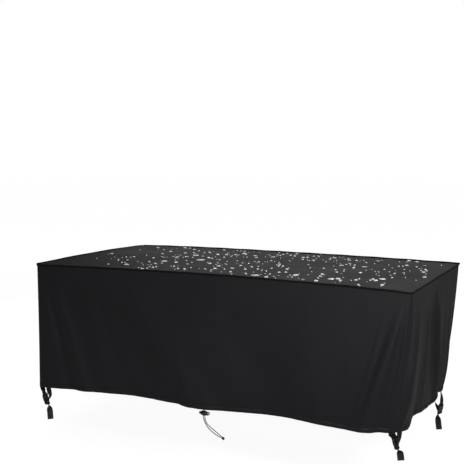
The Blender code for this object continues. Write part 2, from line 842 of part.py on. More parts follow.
def make_socket_mesh(parts, cutters, finish):
    """The socket half: a hollow block with a window in each side and a head bar for the strap."""
    wide, thick = BUCKLE_HALF_WIDTH, SOCKET_HALF_THICK
    body = box_mesh("socket_body", (-thick, -wide, SOCKET_FOOT), (thick, wide, SOCKET_HEAD))
    parts.objects.link(body)
    edge = body.modifiers.new("rounded", "BEVEL")
    edge.width = 0.0016
    edge.segments = 2
    inside = PLUG_HALF_THICK + 0.0004
    cut(body, box_mesh("cavity", (-inside, -0.0172, 0.010), (inside, 0.0172, 0.0352)), cutters)
    cut(body, box_mesh("window", (-inside, -0.03, 0.0225), (inside, 0.03, 0.0325)), cutters)
    head = SOCKET_HEAD - HEAD_BAR
    slot_low = (-0.02, -SLOT_HALF_WIDTH, head - SOCKET_SLOT)
    cut(body, box_mesh("slot", slot_low, (0.02, SLOT_HALF_WIDTH, head)), cutters)
    for name, low, high in (("relief_a", HEAD_BAR_HALF, 0.02), ("relief_b", -0.02, -HEAD_BAR_HALF)):
        open_low = (low, -SLOT_HALF_WIDTH, head - 0.001)
        cut(body, box_mesh(name, open_low, (high, SLOT_HALF_WIDTH, 0.06)), cutters)
    return applied_mesh(body, "socket", finish)


def make_buckle(corner, row, plug_mesh, socket_mesh, parts):
    """Both halves of one corner's buckle, closed."""
    for name, mesh in (("plug", plug_mesh), ("socket", socket_mesh)):
        half = bpy.data.objects.new(f"buckle_{name}_{corner}", mesh)
        parts.objects.link(half)
        half.matrix_world = buckle_matrix(row)


def round_bar(name, axis, radius, start, end, sides):
    """A cylinder between two points along one axis, as an object."""
    mesh = bpy.data.meshes.new(name)
    bar = bmesh.new()
    span = Vector(end) - Vector(start)
    turn = {"X": Matrix.Rotation(math.pi / 2, 4, "Y"), "Y": Matrix.Rotation(math.pi / 2, 4, "X")}
    middle = (Vector(start) + Vector(end)) / 2
    place = Matrix.Translation(middle) @ turn.get(axis, Matrix.Identity(4))
    bmesh.ops.create_cone(
        bar,
        cap_ends=True,
        segments=sides,
        radius1=radius,
        radius2=radius,
        depth=span.length,
        matrix=place,
    )
    bar.to_mesh(mesh)
    bar.free()
    return bpy.data.objects.new(name, mesh)


def make_lock_body(parts, cutters, finish):
    """The cord lock's body: a flattened barrel with an eye, a bore and two cord holes."""
    cx, cy, cz = LOCK_CENTRE
    hx, hy, hz = LOCK_HALF
    mesh = bpy.data.meshes.new("lock_barrel")
    barrel = bmesh.new()
    bmesh.ops.create_uvsphere(barrel, u_segments=20, v_segments=12, radius=1.0)
    for vert in barrel.verts:
        square = max(abs(vert.co.x), math.hypot(vert.co.y, vert.co.z), 0.001)
        squared = vert.co / square ** 0.55
        vert.co = Vector((cx + squared.x * hx, cy + squared.y * hy, cz + squared.z * hz))
    barrel.to_mesh(mesh)
    barrel.free()
    body = bpy.data.objects.new("lock_barrel", mesh)
    parts.objects.link(body)
    eye_x = cx + hx + 0.0055
    eye = round_bar("eye", "Y", 0.0090, (eye_x, cy - 0.0032, cz), (eye_x, cy + 0.0032, cz), 18)
    cut(body, eye, cutters, "UNION")
    hole_x = eye_x + 0.0012
    hole = round_bar("eye_hole", "Y", 0.0045, (hole_x, cy - 0.03, cz), (hole_x, cy + 0.03, cz), 12)
    cut(body, hole, cutters)
    bore_end = (cx - hx + BUTTON_BORE, cy, cz)
    bore = round_bar("bore", "X", BUTTON_RADIUS + 0.0004, (cx - 0.05, cy, cz), bore_end, 20)
    cut(body, bore, cutters)
    for offset in (-CORD_HOLE_APART / 2, CORD_HOLE_APART / 2):
        x = cx + offset
        way = round_bar("cord_hole", "Z", CORD_HOLE_RADIUS, (x, cy, cz - 0.03), (x, cy, cz + 0.03), 12)
        cut(body, way, cutters)
    lock = bpy.data.objects.new("cord_lock_body", applied_mesh(body, "cord_lock_body", finish))
    parts.objects.link(lock)


def make_lock_button(parts, finish):
    """The push button: a round cap whose shank rides in the body's bore."""
    cx, cy, cz = LOCK_CENTRE
    hx = LOCK_HALF[0]
    inner = cx - hx + BUTTON_BORE - BUTTON_TRAVEL - 0.0010
    outer = cx - hx - 0.0085
    button = round_bar("cord_lock_button", "X", BUTTON_RADIUS, (outer, cy, cz), (inner, cy, cz), 20)
    button.data.materials.append(finish)
    parts.objects.link(button)
    edge = button.modifiers.new("rounded", "BEVEL")
    edge.width = 0.0018
    edge.segments = 2
    edge.limit_method = "ANGLE"
    button.data.shade_smooth()
    button.data.set_sharp_from_angle(angle=math.radians(35))


def make_cord(name, route, parts, finish):
    """One strand of the drawcord: a tube along a smooth curve through its route."""
    curve = bpy.data.curves.new(name, "CURVE")
    curve.dimensions = "3D"
    curve.bevel_depth = CORD_DIAMETER / 2
    curve.bevel_resolution = 2
    curve.use_fill_caps = True
    points = smooth_route(route, 20)
    spline = curve.splines.new("POLY")
    spline.points.add(len(points) - 1)
    for point, spot in zip(spline.points, points):
        point.co = (*spot, 1.0)
    curve.materials.append(finish)
    strand = bpy.data.objects.new(name, curve)
    parts.objects.link(strand)


def make_cord_end(parts, finish):
    """The crimp that joins the two strands' ends."""
    low = [-0.5 * s for s in CRIMP]
    high = [0.5 * s for s in CRIMP]
    crimp = box_mesh("cord_end", low, high)
    crimp.data.materials.append(finish)
    parts.objects.link(crimp)
    edge = crimp.modifiers.new("rounded", "BEVEL")
    edge.width = 0.0015
    edge.segments = 2
    tilt = Matrix.Rotation(math.radians(30), 4, "Y")
    crimp.matrix_world = Matrix.Translation(CORD_TIP) @ tilt


def main():
    clear_scene()
    parts = collection("patio_furniture_cover")
    cutters = collection("cutters")
    cloth = material("coated_cloth", (0.020, 0.020, 0.022), 0.55)
    tape = material("binding_tape", (0.010, 0.010, 0.011), 0.60)
    webbing = material("webbing", (0.012, 0.012, 0.013), 0.70)
    plastic = material("moulded_plastic", (0.015, 0.015, 0.016), 0.35)
    cord = material("drawcord", (0.014, 0.014, 0.015), 0.75)
    make_top_panel(parts, cloth)
    for side in SIDES:
        make_skirt_panel(side, parts, cloth)
        make_binding(side, parts, tape)
    plug_mesh = make_plug_mesh(parts, plastic)
    socket_mesh = make_socket_mesh(parts, cutters, plastic)
    for corner, row in STRAPS.items():
        make_short_strap(corner, row, parts, webbing)
        make_long_strap(corner, row, parts, webbing)
        make_buckle(corner, row, plug_mesh, socket_mesh, parts)
    make_lock_body(parts, cutters, plastic)
    make_lock_button(parts, plastic)
    for name, route in CORD_ROUTES.items():
        make_cord(name, route, parts, cord)
    make_cord_end(parts, plastic)
    for part in parts.objects:
        part.location.z += CLOTH - top_height(0.0, 0.0)


main()
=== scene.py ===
import math

import bpy
import numpy as np
from mathutils import Matrix, Vector


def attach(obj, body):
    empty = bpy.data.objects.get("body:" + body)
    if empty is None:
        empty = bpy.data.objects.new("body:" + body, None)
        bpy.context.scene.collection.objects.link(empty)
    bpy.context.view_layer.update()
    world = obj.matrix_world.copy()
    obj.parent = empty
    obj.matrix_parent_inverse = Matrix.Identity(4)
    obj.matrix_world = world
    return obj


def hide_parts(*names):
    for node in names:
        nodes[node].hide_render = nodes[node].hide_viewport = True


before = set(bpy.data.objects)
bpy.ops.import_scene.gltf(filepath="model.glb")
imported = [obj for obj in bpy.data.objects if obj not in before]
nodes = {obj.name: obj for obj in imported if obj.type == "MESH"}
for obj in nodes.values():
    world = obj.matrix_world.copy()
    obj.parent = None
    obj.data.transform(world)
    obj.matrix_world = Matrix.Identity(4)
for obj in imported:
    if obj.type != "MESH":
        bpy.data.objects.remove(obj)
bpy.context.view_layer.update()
print("frame loaded")

cameraPlace = {
    "location": (1.8418, -3.8626, 0.5747),
    "turn": (84.4892, 0.0, 26.7027),
    "lens": 60.005,
    "sensor": 36.0,
}


def makeCamera(values):
    lens = bpy.data.cameras.new("viewer")
    lens.lens = values["lens"]
    lens.sensor_width = values["sensor"]
    lens.clip_end = 100
    camera = bpy.data.objects.new("viewer", lens)
    camera.location = values["location"]
    camera.rotation_euler = [math.radians(a) for a in values["turn"]]
    bpy.context.scene.collection.objects.link(camera)
    bpy.context.scene.camera = camera


makeCamera(cameraPlace)

# The cover's own sizes, the same as its solids have.
cover = {
    "length": 2.10,
    "width": 1.08,
    "cloth": 0.002,
    "seamGap": 0.0005,
    "rimDrop": 0.004,
    "topRadius": 0.012,
    "sag": 0.002,
    "sagWaves": ((2.1, 0.4), (3.3, 1.0)),  # along X and along Y
    "sagFade": 0.25,  # from the edges
    "taper": (0.45, 2.5),  # how a side draws in: the straight share, and the power of the rest
    "hemHeight": 0.024,
    "hemBulge": 0.0025,
    "flatDrop": 0.70,  # a skirt's height before it is sewn
    "meanDrop": 0.69,  # from the top to the hem, for the patterns and the stitch line
    "foldFade": 0.03,  # from a corner seam, where the folds and the hem's roll fade in
    "rollFade": 0.015,
}
halfX = cover["length"] / 2
halfY = cover["width"] / 2
quarter = math.pi / 4

# Metres along each top edge from its start corner, and the height there.
edgeRise = {
    "front": (
        (0.00, 0.000), (0.14, 0.005), (0.50, 0.013), (0.86, 0.019), (1.20, 0.022), (1.55, 0.019),
        (1.80, 0.016), (1.96, 0.012), (2.10, 0.006),
    ),
    "right": ((0.00, 0.006), (0.54, 0.004), (1.08, 0.000)),
    "back": ((0.00, 0.000), (0.50, 0.005), (1.05, 0.006), (1.60, 0.004), (2.00, -0.003), (2.10, -0.007)),
    "left": ((0.00, -0.007), (0.10, -0.002), (0.30, 0.003), (0.54, 0.005), (0.80, 0.004), (1.08, 0.000)),
}
# How far each corner of the hem is drawn in along X and along Y, its radius and its depth.
corners = {
    "frontLeft": (-0.012, 0.000, 0.030, 0.700),
    "frontRight": (0.060, 0.120, 0.130, 0.689),
    "backRight": (0.047, 0.100, 0.100, 0.690),
    "backLeft": (0.045, 0.070, 0.080, 0.694),
}
# Each side from its start corner to its end corner, its length, and its columns and rows of cloth.
sides = {
    "front": ("frontLeft", "frontRight", cover["length"], 300, 112),
    "right": ("frontRight", "backRight", cover["width"], 190, 112),
    "back": ("backRight", "backLeft", cover["length"], 240, 80),
    "left": ("backLeft", "frontLeft", cover["width"], 130, 80),
}
# The hem between the corners: metres from the start corner, how far it is drawn in, its depth.
hems = {
    "front": (
        (0.19, 0.015, 0.693), (0.38, 0.037, 0.689), (0.60, 0.070, 0.688), (0.77, 0.069, 0.690),
        (1.00, 0.064, 0.696), (1.15, 0.078, 0.692), (1.31, 0.095, 0.686), (1.48, 0.095, 0.682),
        (1.65, 0.089, 0.686), (1.78, 0.090, 0.690), (1.93, 0.106, 0.689),
    ),
    "right": (
        (0.22, 0.062, 0.691), (0.30, 0.060, 0.689), (0.37, 0.062, 0.669), (0.45, 0.056, 0.674),
        (0.56, 0.042, 0.679), (0.66, 0.038, 0.690), (0.73, 0.044, 0.669), (0.84, 0.045, 0.680),
        (0.95, 0.042, 0.689),
    ),
    "back": (
        (0.25, 0.085, 0.688), (0.55, 0.070, 0.684), (0.85, 0.078, 0.690), (1.10, 0.062, 0.695),
        (1.35, 0.075, 0.690), (1.60, 0.060, 0.686), (1.85, 0.066, 0.690),
    ),
    "left": (
        (0.22, 0.042, 0.690), (0.40, 0.034, 0.685), (0.60, 0.042, 0.691), (0.80, 0.026, 0.694),
        (0.98, 0.006, 0.699),
    ),
}
# The main folds: metres from the start corner at the top and at the hem, the power of the line
# between, half width at the top and at the hem, height, where it starts and where it is full.
folds = {
    "front": (
        (0.00, 0.21, 0.6, 0.022, 0.040, -0.010, 0.05, 0.50),
        (0.05, 0.30, 0.6, 0.030, 0.050, 0.010, 0.05, 0.50),
        (0.56, 0.98, 1.0, 0.130, 0.110, 0.009, 0.00, 0.30),
        (0.86, 0.86, 1.0, 0.020, 0.030, -0.009, 0.68, 0.95),
        (0.92, 0.93, 1.0, 0.020, 0.035, 0.006, 0.68, 0.95),
        (1.20, 1.45, 1.0, 0.120, 0.150, -0.006, 0.20, 0.80),
        (1.66, 1.62, 1.0, 0.120, 0.110, 0.006, 0.30, 0.90),
        (2.06, 1.85, 1.2, 0.014, 0.042, 0.016, 0.02, 0.60),
        (2.08, 1.93, 1.25, 0.010, 0.028, -0.013, 0.02, 0.60),
    ),
    "right": (
        (0.09, 0.09, 1.0, 0.022, 0.030, -0.006, 0.03, 0.45),
        (0.17, 0.15, 1.0, 0.016, 0.022, 0.009, 0.04, 0.50),
        (0.30, 0.33, 1.0, 0.070, 0.060, -0.010, 0.10, 0.70),
        (0.42, 0.62, 1.0, 0.045, 0.050, -0.010, 0.03, 0.40),
        (0.51, 0.72, 1.0, 0.028, 0.040, 0.016, 0.02, 0.35),
        (0.70, 0.82, 1.0, 0.060, 0.050, -0.008, 0.10, 0.60),
        (0.90, 0.93, 1.0, 0.040, 0.040, 0.008, 0.10, 0.70),
    ),
    "back": (
        (0.04, 0.20, 1.2, 0.014, 0.040, -0.012, 0.02, 0.60),
        (0.08, 0.30, 1.2, 0.020, 0.045, 0.013, 0.02, 0.60),
        (0.60, 0.75, 1.0, 0.110, 0.120, 0.008, 0.10, 0.70),
        (1.10, 1.15, 1.0, 0.090, 0.060, -0.008, 0.20, 0.80),
        (1.50, 1.40, 1.0, 0.100, 0.110, 0.007, 0.10, 0.70),
        (2.05, 1.88, 1.2, 0.014, 0.038, 0.013, 0.02, 0.60),
    ),
    "left": (
        (0.06, 0.16, 1.1, 0.016, 0.032, 0.010, 0.02, 0.60),
        (0.36, 0.42, 1.0, 0.040, 0.040, -0.009, 0.10, 0.60),
        (0.55, 0.58, 1.0, 0.040, 0.045, 0.011, 0.10, 0.60),
        (0.85, 0.82, 1.0, 0.050, 0.040, -0.007, 0.20, 0.80),
    ),
}


def smooth(x):
    x = np.clip(x, 0.0, 1.0)
    return x * x * (3 - 2 * x)


def readCurve(rows, at):
    xs = np.array([row[0] for row in rows], float)
    ys = np.array([row[1] for row in rows], float)
    at = np.clip(at, xs[0], xs[-1])
    k = np.clip(np.searchsorted(xs, at, side="right") - 1, 0, len(xs) - 2)
    before = np.maximum(k - 1, 0)
    after = np.minimum(k + 2, len(xs) - 1)
    slope0 = (ys[k + 1] - ys[before]) / (xs[k + 1] - xs[before])
    slope1 = (ys[after] - ys[k]) / (xs[after] - xs[k])
    span = xs[k + 1] - xs[k]
    u = (at - xs[k]) / span
    ends = (2 * u**3 - 3 * u**2 + 1) * ys[k] + (3 * u**2 - 2 * u**3) * ys[k + 1]
    return ends + (u**3 - 2 * u**2 + u) * span * slope0 + (u**3 - u**2) * span * slope1


def topHeight(x, y):
    u = np.clip((x + halfX) / cover["length"], 0.0, 1.0)
    v = np.clip((y + halfY) / cover["width"], 0.0, 1.0)
    front = readCurve(edgeRise["front"], u * cover["length"])
    back = readCurve(edgeRise["back"], (1 - u) * cover["length"])
    right = readCurve(edgeRise["right"], v * cover["width"])
    left = readCurve(edgeRise["left"], (1 - v) * cover["width"])
    frontEnds = (1 - u) * edgeRise["front"][0][1] + u * edgeRise["front"][-1][1]
    backEnds = (1 - u) * edgeRise["back"][-1][1] + u * edgeRise["back"][0][1]
    ends = (1 - v) * frontEnds + v * backEnds
    stretched = (1 - v) * front + v * back + (1 - u) * left + u * right - ends
    nearX = np.minimum(u, 1 - u) * cover["length"]
    nearY = np.minimum(v, 1 - v) * cover["width"]
    away = smooth(np.minimum(nearX, nearY) / cover["sagFade"])
    (turnX, startX), (turnY, startY) = cover["sagWaves"]
    return stretched + cover["sag"] * np.sin(turnX * x + startX) * np.sin(turnY * y + startY) * away


lift = cover["cloth"] - float(topHeight(np.array(0.0), np.array(0.0)))  # origin under the top


def taper(t):
    straight, power = cover["taper"]
    return straight * t + (1 - straight) * t**power


def toWorld(side, along, out):
    if side == "front":
        return along - halfX, -halfY - out
    if side == "right":
        return halfX + out, along - halfY
    if side == "back":
        return halfX - along, halfY + out
    return -halfX - out, halfY - along


def cornerDraw(side, corner):
    inX, inY, radius, drop = corners[corner]
    if side in ("front", "back"):
        return inY, inX, radius, drop
    return inX, inY, radius, drop


def foldSum(rows, along, t):
    relief = np.zeros_like(along)
    for top, hem, power, wideTop, wideHem, height, start, full in rows:
        at = top + (hem - top) * t**power
        wide = wideTop + (wideHem - wideTop) * t
        relief += height * smooth((t - start) / (full - start)) * np.exp(-(((along - at) / wide) ** 2))
    return relief


def hemRoll(t, drop):
    start = 1 - cover["hemHeight"] / drop
    inside = np.clip((t - start) / (1 - start), 0.0, 1.0)
    return cover["hemBulge"] * np.sqrt(np.clip(np.sin(math.pi * inside), 0.0, 1.0))


def sideRun(side, t):
    start, end, length = sides[side][:3]
    first = cornerDraw(side, start)[1] * taper(t)
    last = length - cornerDraw(side, end)[1] * taper(t)
    roundStart = cover["topRadius"] + (cornerDraw(side, start)[2] - cover["topRadius"]) * t
    roundEnd = cover["topRadius"] + (cornerDraw(side, end)[2] - cover["topRadius"]) * t
    whole = last - first - (1 - quarter) * (roundStart + roundEnd)
    return first, last, roundStart, roundEnd, whole


def skirtSurface(side, share, t, relief=None, rolled=True):
    start, end, length = sides[side][:3]
    inStart, _, _, dropStart = cornerDraw(side, start)
    inEnd, _, _, dropEnd = cornerDraw(side, end)
    first, last, roundStart, roundEnd, whole = sideRun(side, t)
    gone = share * whole
    arcStart = quarter * roundStart
    arcEnd = whole - quarter * roundEnd
    atStart = gone < arcStart
    atEnd = gone > arcEnd
    angleStart = quarter + np.clip(gone, 0, arcStart) / roundStart
    angleEnd = quarter + np.clip(whole - gone, 0, whole - arcEnd) / roundEnd
    along = first + roundStart + gone - arcStart
    along = np.where(atStart, first + roundStart * (1 - np.cos(angleStart)), along)
    along = np.where(atEnd, last - roundEnd * (1 - np.cos(angleEnd)), along)
    fall = np.where(atStart, roundStart * (1 - np.sin(angleStart)), 0.0)
    fall = np.where(atEnd, roundEnd * (1 - np.sin(angleEnd)), fall)
    blendStart = np.where(atStart, smooth(gone / arcStart), 1.0)
    blendEnd = np.where(atEnd, smooth((whole - gone) / (whole - arcEnd)), 1.0)
    hem = [(0.0, inStart, dropStart), *hems[side], (length, inEnd, dropEnd)]
    drawn = readCurve([(row[0], row[1]) for row in hem], along)
    drop = readCurve([(row[0], row[2]) for row in hem], along)
    drawn = inStart + (drawn - inStart) * blendStart
    drawn = inEnd + (drawn - inEnd) * blendEnd
    drop = dropStart + (drop - dropStart) * blendStart
    drop = dropEnd + (drop - dropEnd) * blendEnd
    seamAway = np.minimum(gone, whole - gone)
    out = foldSum(folds[side], along, t) * smooth(seamAway / cover["foldFade"]) - drawn * taper(t)
    if rolled:
        out = out + hemRoll(t, drop) * smooth(seamAway / cover["rollFade"])
    if relief is not None:
        out = out + relief(along, t, seamAway, drop)
    x, y = toWorld(side, along, out - fall)
    top = topHeight(x, y) - cover["rimDrop"] - cover["seamGap"]
    z = top + (-drop - top) * t
    return np.stack([x, y, z + lift], axis=-1)


def linked(name, data):
    made = bpy.data.objects.new(name, data)
    bpy.context.scene.collection.objects.link(made)
    return made


def gridPiece(name, points, uv, finish, closed=False):
    rows, columns = points.shape[:2]
    index = np.arange(rows * columns).reshape(rows, columns)
    if closed:
        index = np.concatenate([index, index[:, :1]], axis=1)
        uv = np.concatenate([uv, uv[:, :1] + (uv[:, -1:] - uv[:, -2:-1])], axis=1)
    uvIndex = np.arange(index.size).reshape(index.shape)
    corner = lambda grid: np.stack([grid[:-1, :-1], grid[1:, :-1], grid[1:, 1:], grid[:-1, 1:]], axis=-1)
    quads = corner(index).reshape(-1, 4)
    mesh = bpy.data.meshes.new(name)
    mesh.from_pydata(points.reshape(-1, 3).tolist(), [], quads.tolist())
    layer = mesh.uv_layers.new(name="metres")
    layer.data.foreach_set("uv", uv.reshape(-1, 2)[corner(uvIndex).ravel()].ravel())
    mesh.polygons.foreach_set("use_smooth", [True] * len(mesh.polygons))
    mesh.materials.append(finish)
    mesh.update()
    return linked(name, mesh)


def thicken(piece, thickness, offset):
    solid = piece.modifiers.new("thickness", "SOLIDIFY")
    solid.thickness = thickness
    solid.offset = offset
    solid.use_even_offset = True


def stand(piece, node):
    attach(piece, "cover")
    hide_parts(node)


# Node trees and materials. The cloth's and the straps' patterns read the piece's own UV map, in metres.
def makeTree(name, kind, inputs, outputs):
    tree = bpy.data.node_groups.new(name, kind)
    for way, sockets in (("INPUT", inputs), ("OUTPUT", outputs)):
        for label, sort in sockets.items():
            tree.interface.new_socket(name=label, in_out=way, socket_type=f"NodeSocket{sort}")
    given, result = tree.nodes.new("NodeGroupInput"), tree.nodes.new("NodeGroupOutput")
    return tree, given.outputs, result.inputs


def add(tree, kind, values=None, **settings):
    node = tree.nodes.new(kind)
    for label, value in settings.items():
        setattr(node, label, value)
    for label, value in (values or {}).items():
        node.inputs[label].default_value = value
    return node


def wire(tree, pairs):
    for source, target in pairs:
        tree.links.new(source, target)


def mathNode(tree, operation, first, second=None):
    node = add(tree, "ShaderNodeMath", operation=operation)
    for socket, value in zip(node.inputs, (first, second)):
        if isinstance(value, (int, float)):
            socket.default_value = value
        elif value is not None:
            tree.links.new(value, socket)
    return node.outputs[0]


def makeWeaveGroup():
    inputs = {"Vector": "Vector", "Threads Across": "Float", "Threads Along": "Float"}
    outputs = {"Height": "Float", "Gap": "Float"}
    group, given, result = makeTree("plainWeave", "ShaderNodeTree", inputs, outputs)
    parts = add(group, "ShaderNodeSeparateXYZ")
    group.links.new(given["Vector"], parts.inputs[0])
    waves = []
    for k, label in enumerate(("Threads Across", "Threads Along")):
        threads = mathNode(group, "MULTIPLY", parts.outputs[k], given[label])
        waves.append(mathNode(group, "SINE", mathNode(group, "MULTIPLY", threads, math.pi)))
    crossing = mathNode(group, "MULTIPLY", *waves)
    bump = mathNode(group, "ABSOLUTE", crossing)
    uneven, closeness = 0.25, 3.0  # how much every other thread stands out, how narrow the gaps are
    height = mathNode(group, "ADD", bump, mathNode(group, "MULTIPLY", crossing, uneven))
    filled = mathNode(group, "MINIMUM", mathNode(group, "MULTIPLY", bump, closeness), 1.0)
    gap = mathNode(group, "SUBTRACT", 1.0, filled)
    wire(group, [(height, result["Height"]), (gap, result["Gap"])])
    return group


def makeMottleGroup():
    inputs = {"Vector": "Vector", "Scale": "Float", "Dark": "Color", "Light": "Color"}
    inputs |= {"Dull": "Float", "Shiny": "Float"}
    outputs = {"Color": "Color", "Roughness": "Float"}
    group, given, result = makeTree("mottle", "ShaderNodeTree", inputs, outputs)
    broad = add(group, "ShaderNodeTexNoise", {"Detail": 5.0, "Roughness": 0.55})
    spread = add(group, "ShaderNodeMapRange", {"From Min": 0.3, "From Max": 0.7})
    wire(group, [
        (given["Vector"], broad.inputs["Vector"]),
        (given["Scale"], broad.inputs["Scale"]),
        (broad.outputs["Fac"], spread.inputs["Value"]),
    ])
    mixed = (("RGBA", "Dark", "Light", "Color"), ("FLOAT", "Dull", "Shiny", "Roughness"))
    for sort, low, high, label in mixed:
        mix = add(group, "ShaderNodeMix", data_type=sort)
        wire(group, [
            (spread.outputs["Result"], mix.inputs["Factor"]),
            (given[low], mix.inputs["A"]),
            (given[high], mix.inputs["B"]),
            (mix.outputs["Result"], result[label]),
        ])
    return group


weaveGroup = makeWeaveGroup()
mottleGroup = makeMottleGroup()


def startMaterial(name, looks):
    made = bpy.data.materials.new(name)
    made.use_nodes = True
    tree = made.node_tree
    shader = tree.nodes["Principled BSDF"].inputs
    shader["Specular IOR Level"].default_value = looks["specular"]
    place = add(tree, "ShaderNodeTexCoord").outputs["Object"]
    scale, dark, light, dull, shiny = looks["mottle"]
    values = {"Scale": scale, "Dark": (*dark, 1), "Light": (*light, 1), "Dull": dull, "Shiny": shiny}
    mottle = add(tree, "ShaderNodeGroup", values, node_tree=mottleGroup)
    wire(tree, [
        (place, mottle.inputs["Vector"]),
        (mottle.outputs["Color"], shader["Base Color"]),
        (mottle.outputs["Roughness"], shader["Roughness"]),
    ])
    return made, tree, shader, place, mottle.outputs["Color"]


def addBump(tree, height, strength, distance, normal=None):
    bump = add(tree, "ShaderNodeBump", {"Strength": strength, "Distance": distance})
    tree.links.new(height, bump.inputs["Height"])
    if normal is not None:
        tree.links.new(normal, bump.inputs["Normal"])
    return bump.outputs["Normal"]


def clothMaterial(name, looks):
    made, tree, shader, place, colour = startMaterial(name, looks)
    uv = add(tree, "ShaderNodeUVMap", uv_map="metres")
    threads = dict(zip(("Threads Across", "Threads Along"), looks["weave"]))
    weave = add(tree, "ShaderNodeGroup", threads, node_tree=weaveGroup)
    gaps = {"B": (0.55, 0.55, 0.55, 1)}  # how dark the gaps between threads are
    dark = add(tree, "ShaderNodeMix", gaps, data_type="RGBA", blend_type="MULTIPLY")
    scale, strength, depth = looks["crumple"]
    crumple = add(tree, "ShaderNodeTexNoise", {"Scale": scale, "Detail": 3.0})
    soft = addBump(tree, crumple.outputs["Fac"], strength, depth)
    fine = addBump(tree, weave.outputs["Height"], *looks["thread"], soft)
    wire(tree, [
        (uv.outputs["UV"], weave.inputs["Vector"]),
        (place, crumple.inputs["Vector"]),
        (weave.outputs["Gap"], dark.inputs["Factor"]),
        (colour, dark.inputs["A"]),
        (dark.outputs["Result"], shader["Base Color"]),
        (fine, shader["Normal"]),
    ])
    return made


def plasticMaterial(name, looks):
    made, tree, shader, place, _ = startMaterial(name, looks)
    scale, strength, depth = looks["grain"]
    grain = add(tree, "ShaderNodeTexNoise", {"Scale": scale})
    normal = addBump(tree, grain.outputs["Fac"], strength, depth)
    wire(tree, [(place, grain.inputs["Vector"]), (normal, shader["Normal"])])
    return made


# Mottle: scale, dark and light colour, dull and shiny roughness. Weave: threads a metre, across and
# along. Crumple and grain: scale, strength and depth. Thread: strength and depth.
clothFinishes = {
    "coatedCloth": {
        "specular": 0.16,
        "mottle": (2.6, (0.0077, 0.0077, 0.0092), (0.0103, 0.0103, 0.0122), 0.60, 0.52),
        "weave": (1100.0, 950.0),
        "crumple": (26.0, 0.35, 0.0016),
        "thread": (0.25, 0.00012),
    },
    # The tape's near-black colour is partly its own and partly painted shade, for the dark line along
    # the top's edges.
    "bindingTape": {
        "specular": 0.08,
        "mottle": (9.0, (0.0030, 0.0030, 0.0032), (0.0046, 0.0046, 0.0049), 0.75, 0.62),
        "weave": (1500.0, 700.0),
        "crumple": (60.0, 0.3, 0.0008),
        "thread": (0.4, 0.00015),
    },
    "webbing": {
        "specular": 0.25,
        "mottle": (14.0, (0.0034, 0.0034, 0.0037), (0.0066, 0.0066, 0.0070), 0.72, 0.55),
        "weave": (620.0, 800.0),
        "crumple": (70.0, 0.2, 0.0006),
        "thread": (0.6, 0.0003),
    },
    "cordBraid": {
        "specular": 0.25,
        "mottle": (30.0, (0.0030, 0.0030, 0.0032), (0.0060, 0.0060, 0.0063), 0.8, 0.62),
        "weave": (1400.0, 1400.0),
        "crumple": (200.0, 0.2, 0.0003),
        "thread": (0.5, 0.0002),
    },
}
plasticFinish = {
    "specular": 0.5,
    "mottle": (40.0, (0.0042, 0.0042, 0.0044), (0.0066, 0.0066, 0.0070), 0.38, 0.24),
    "grain": (2600.0, 0.25, 0.0001),
}
threadFinish = {
    "specular": 0.3,
    "mottle": (160.0, (0.007, 0.007, 0.0075), (0.016, 0.016, 0.017), 0.6, 0.45),
}
coatedCloth, bindingTape, webbing, cordBraid = [clothMaterial(*item) for item in clothFinishes.items()]
mouldedPlastic = plasticMaterial("mouldedPlastic", plasticFinish)
sewingThread = startMaterial("sewingThread", threadFinish)[0]
print("materials ready")

# The drawcord: metres, the same routes as its solids.
drawcord = {
    "diameter": 0.0045,
    "sides": 14,
    "rings": 200,
    "braid": 0.00014,  # how far a strand of the braid stands out
    "braidTurns": 4,
    "braidPitch": 0.010,
    "ends": (0.02, 0.75),  # how far the last two rings close in, as shares of the radius
    "routes": {
        "drawcord_left": (
            (-0.0265, -0.4773, -0.6840), (-0.0267, -0.4770, -0.6980),
            (-0.0267, -0.4768, -0.7145), (-0.0266, -0.4768, -0.7290),
            (-0.0245, -0.4764, -0.7420), (-0.0210, -0.4759, -0.7540),
            (-0.0155, -0.4755, -0.7660), (-0.0085, -0.4753, -0.7775),
            (0.0010, -0.4753, -0.7885), (0.0120, -0.4755, -0.7975),
            (0.0240, -0.4758, -0.8055), (0.0370, -0.4763, -0.8130),
            (0.0500, -0.4766, -0.8190), (0.0630, -0.4768, -0.8238),
            (0.0725, -0.4768, -0.8262), (0.0801, -0.4768, -0.8284),
        ),
        "drawcord_right": (
            (-0.0175, -0.4760, -0.6840), (-0.0173, -0.4764, -0.6980),
            (-0.0173, -0.4768, -0.7145), (-0.0173, -0.4768, -0.7290),
            (-0.0160, -0.4772, -0.7415), (-0.0125, -0.4778, -0.7525),
            (-0.0070, -0.4781, -0.7625), (0.0005, -0.4782, -0.7715),
            (0.0100, -0.4782, -0.7790), (0.0210, -0.4781, -0.7860),
            (0.0330, -0.4778, -0.7935), (0.0455, -0.4775, -0.8015),
            (0.0580, -0.4771, -0.8092), (0.0700, -0.4768, -0.8165),
            (0.0780, -0.4768, -0.8212), (0.0830, -0.4768, -0.8241),
        ),
    },
}


def readColumns(at, table, places):
    columns = [readCurve(np.stack([at, column], axis=1), places) for column in table.T]
    return np.stack(columns, axis=1)


def smoothRoute(route, count):
    route = np.array(route, float)
    lengths = np.concatenate([[0.0], np.cumsum(np.linalg.norm(np.diff(route, axis=0), axis=1))])
    return readColumns(lengths, route, np.linspace(0.0, lengths[-1], count))


def unit(vectors):
    return vectors / np.linalg.norm(vectors, axis=-1, keepdims=True)


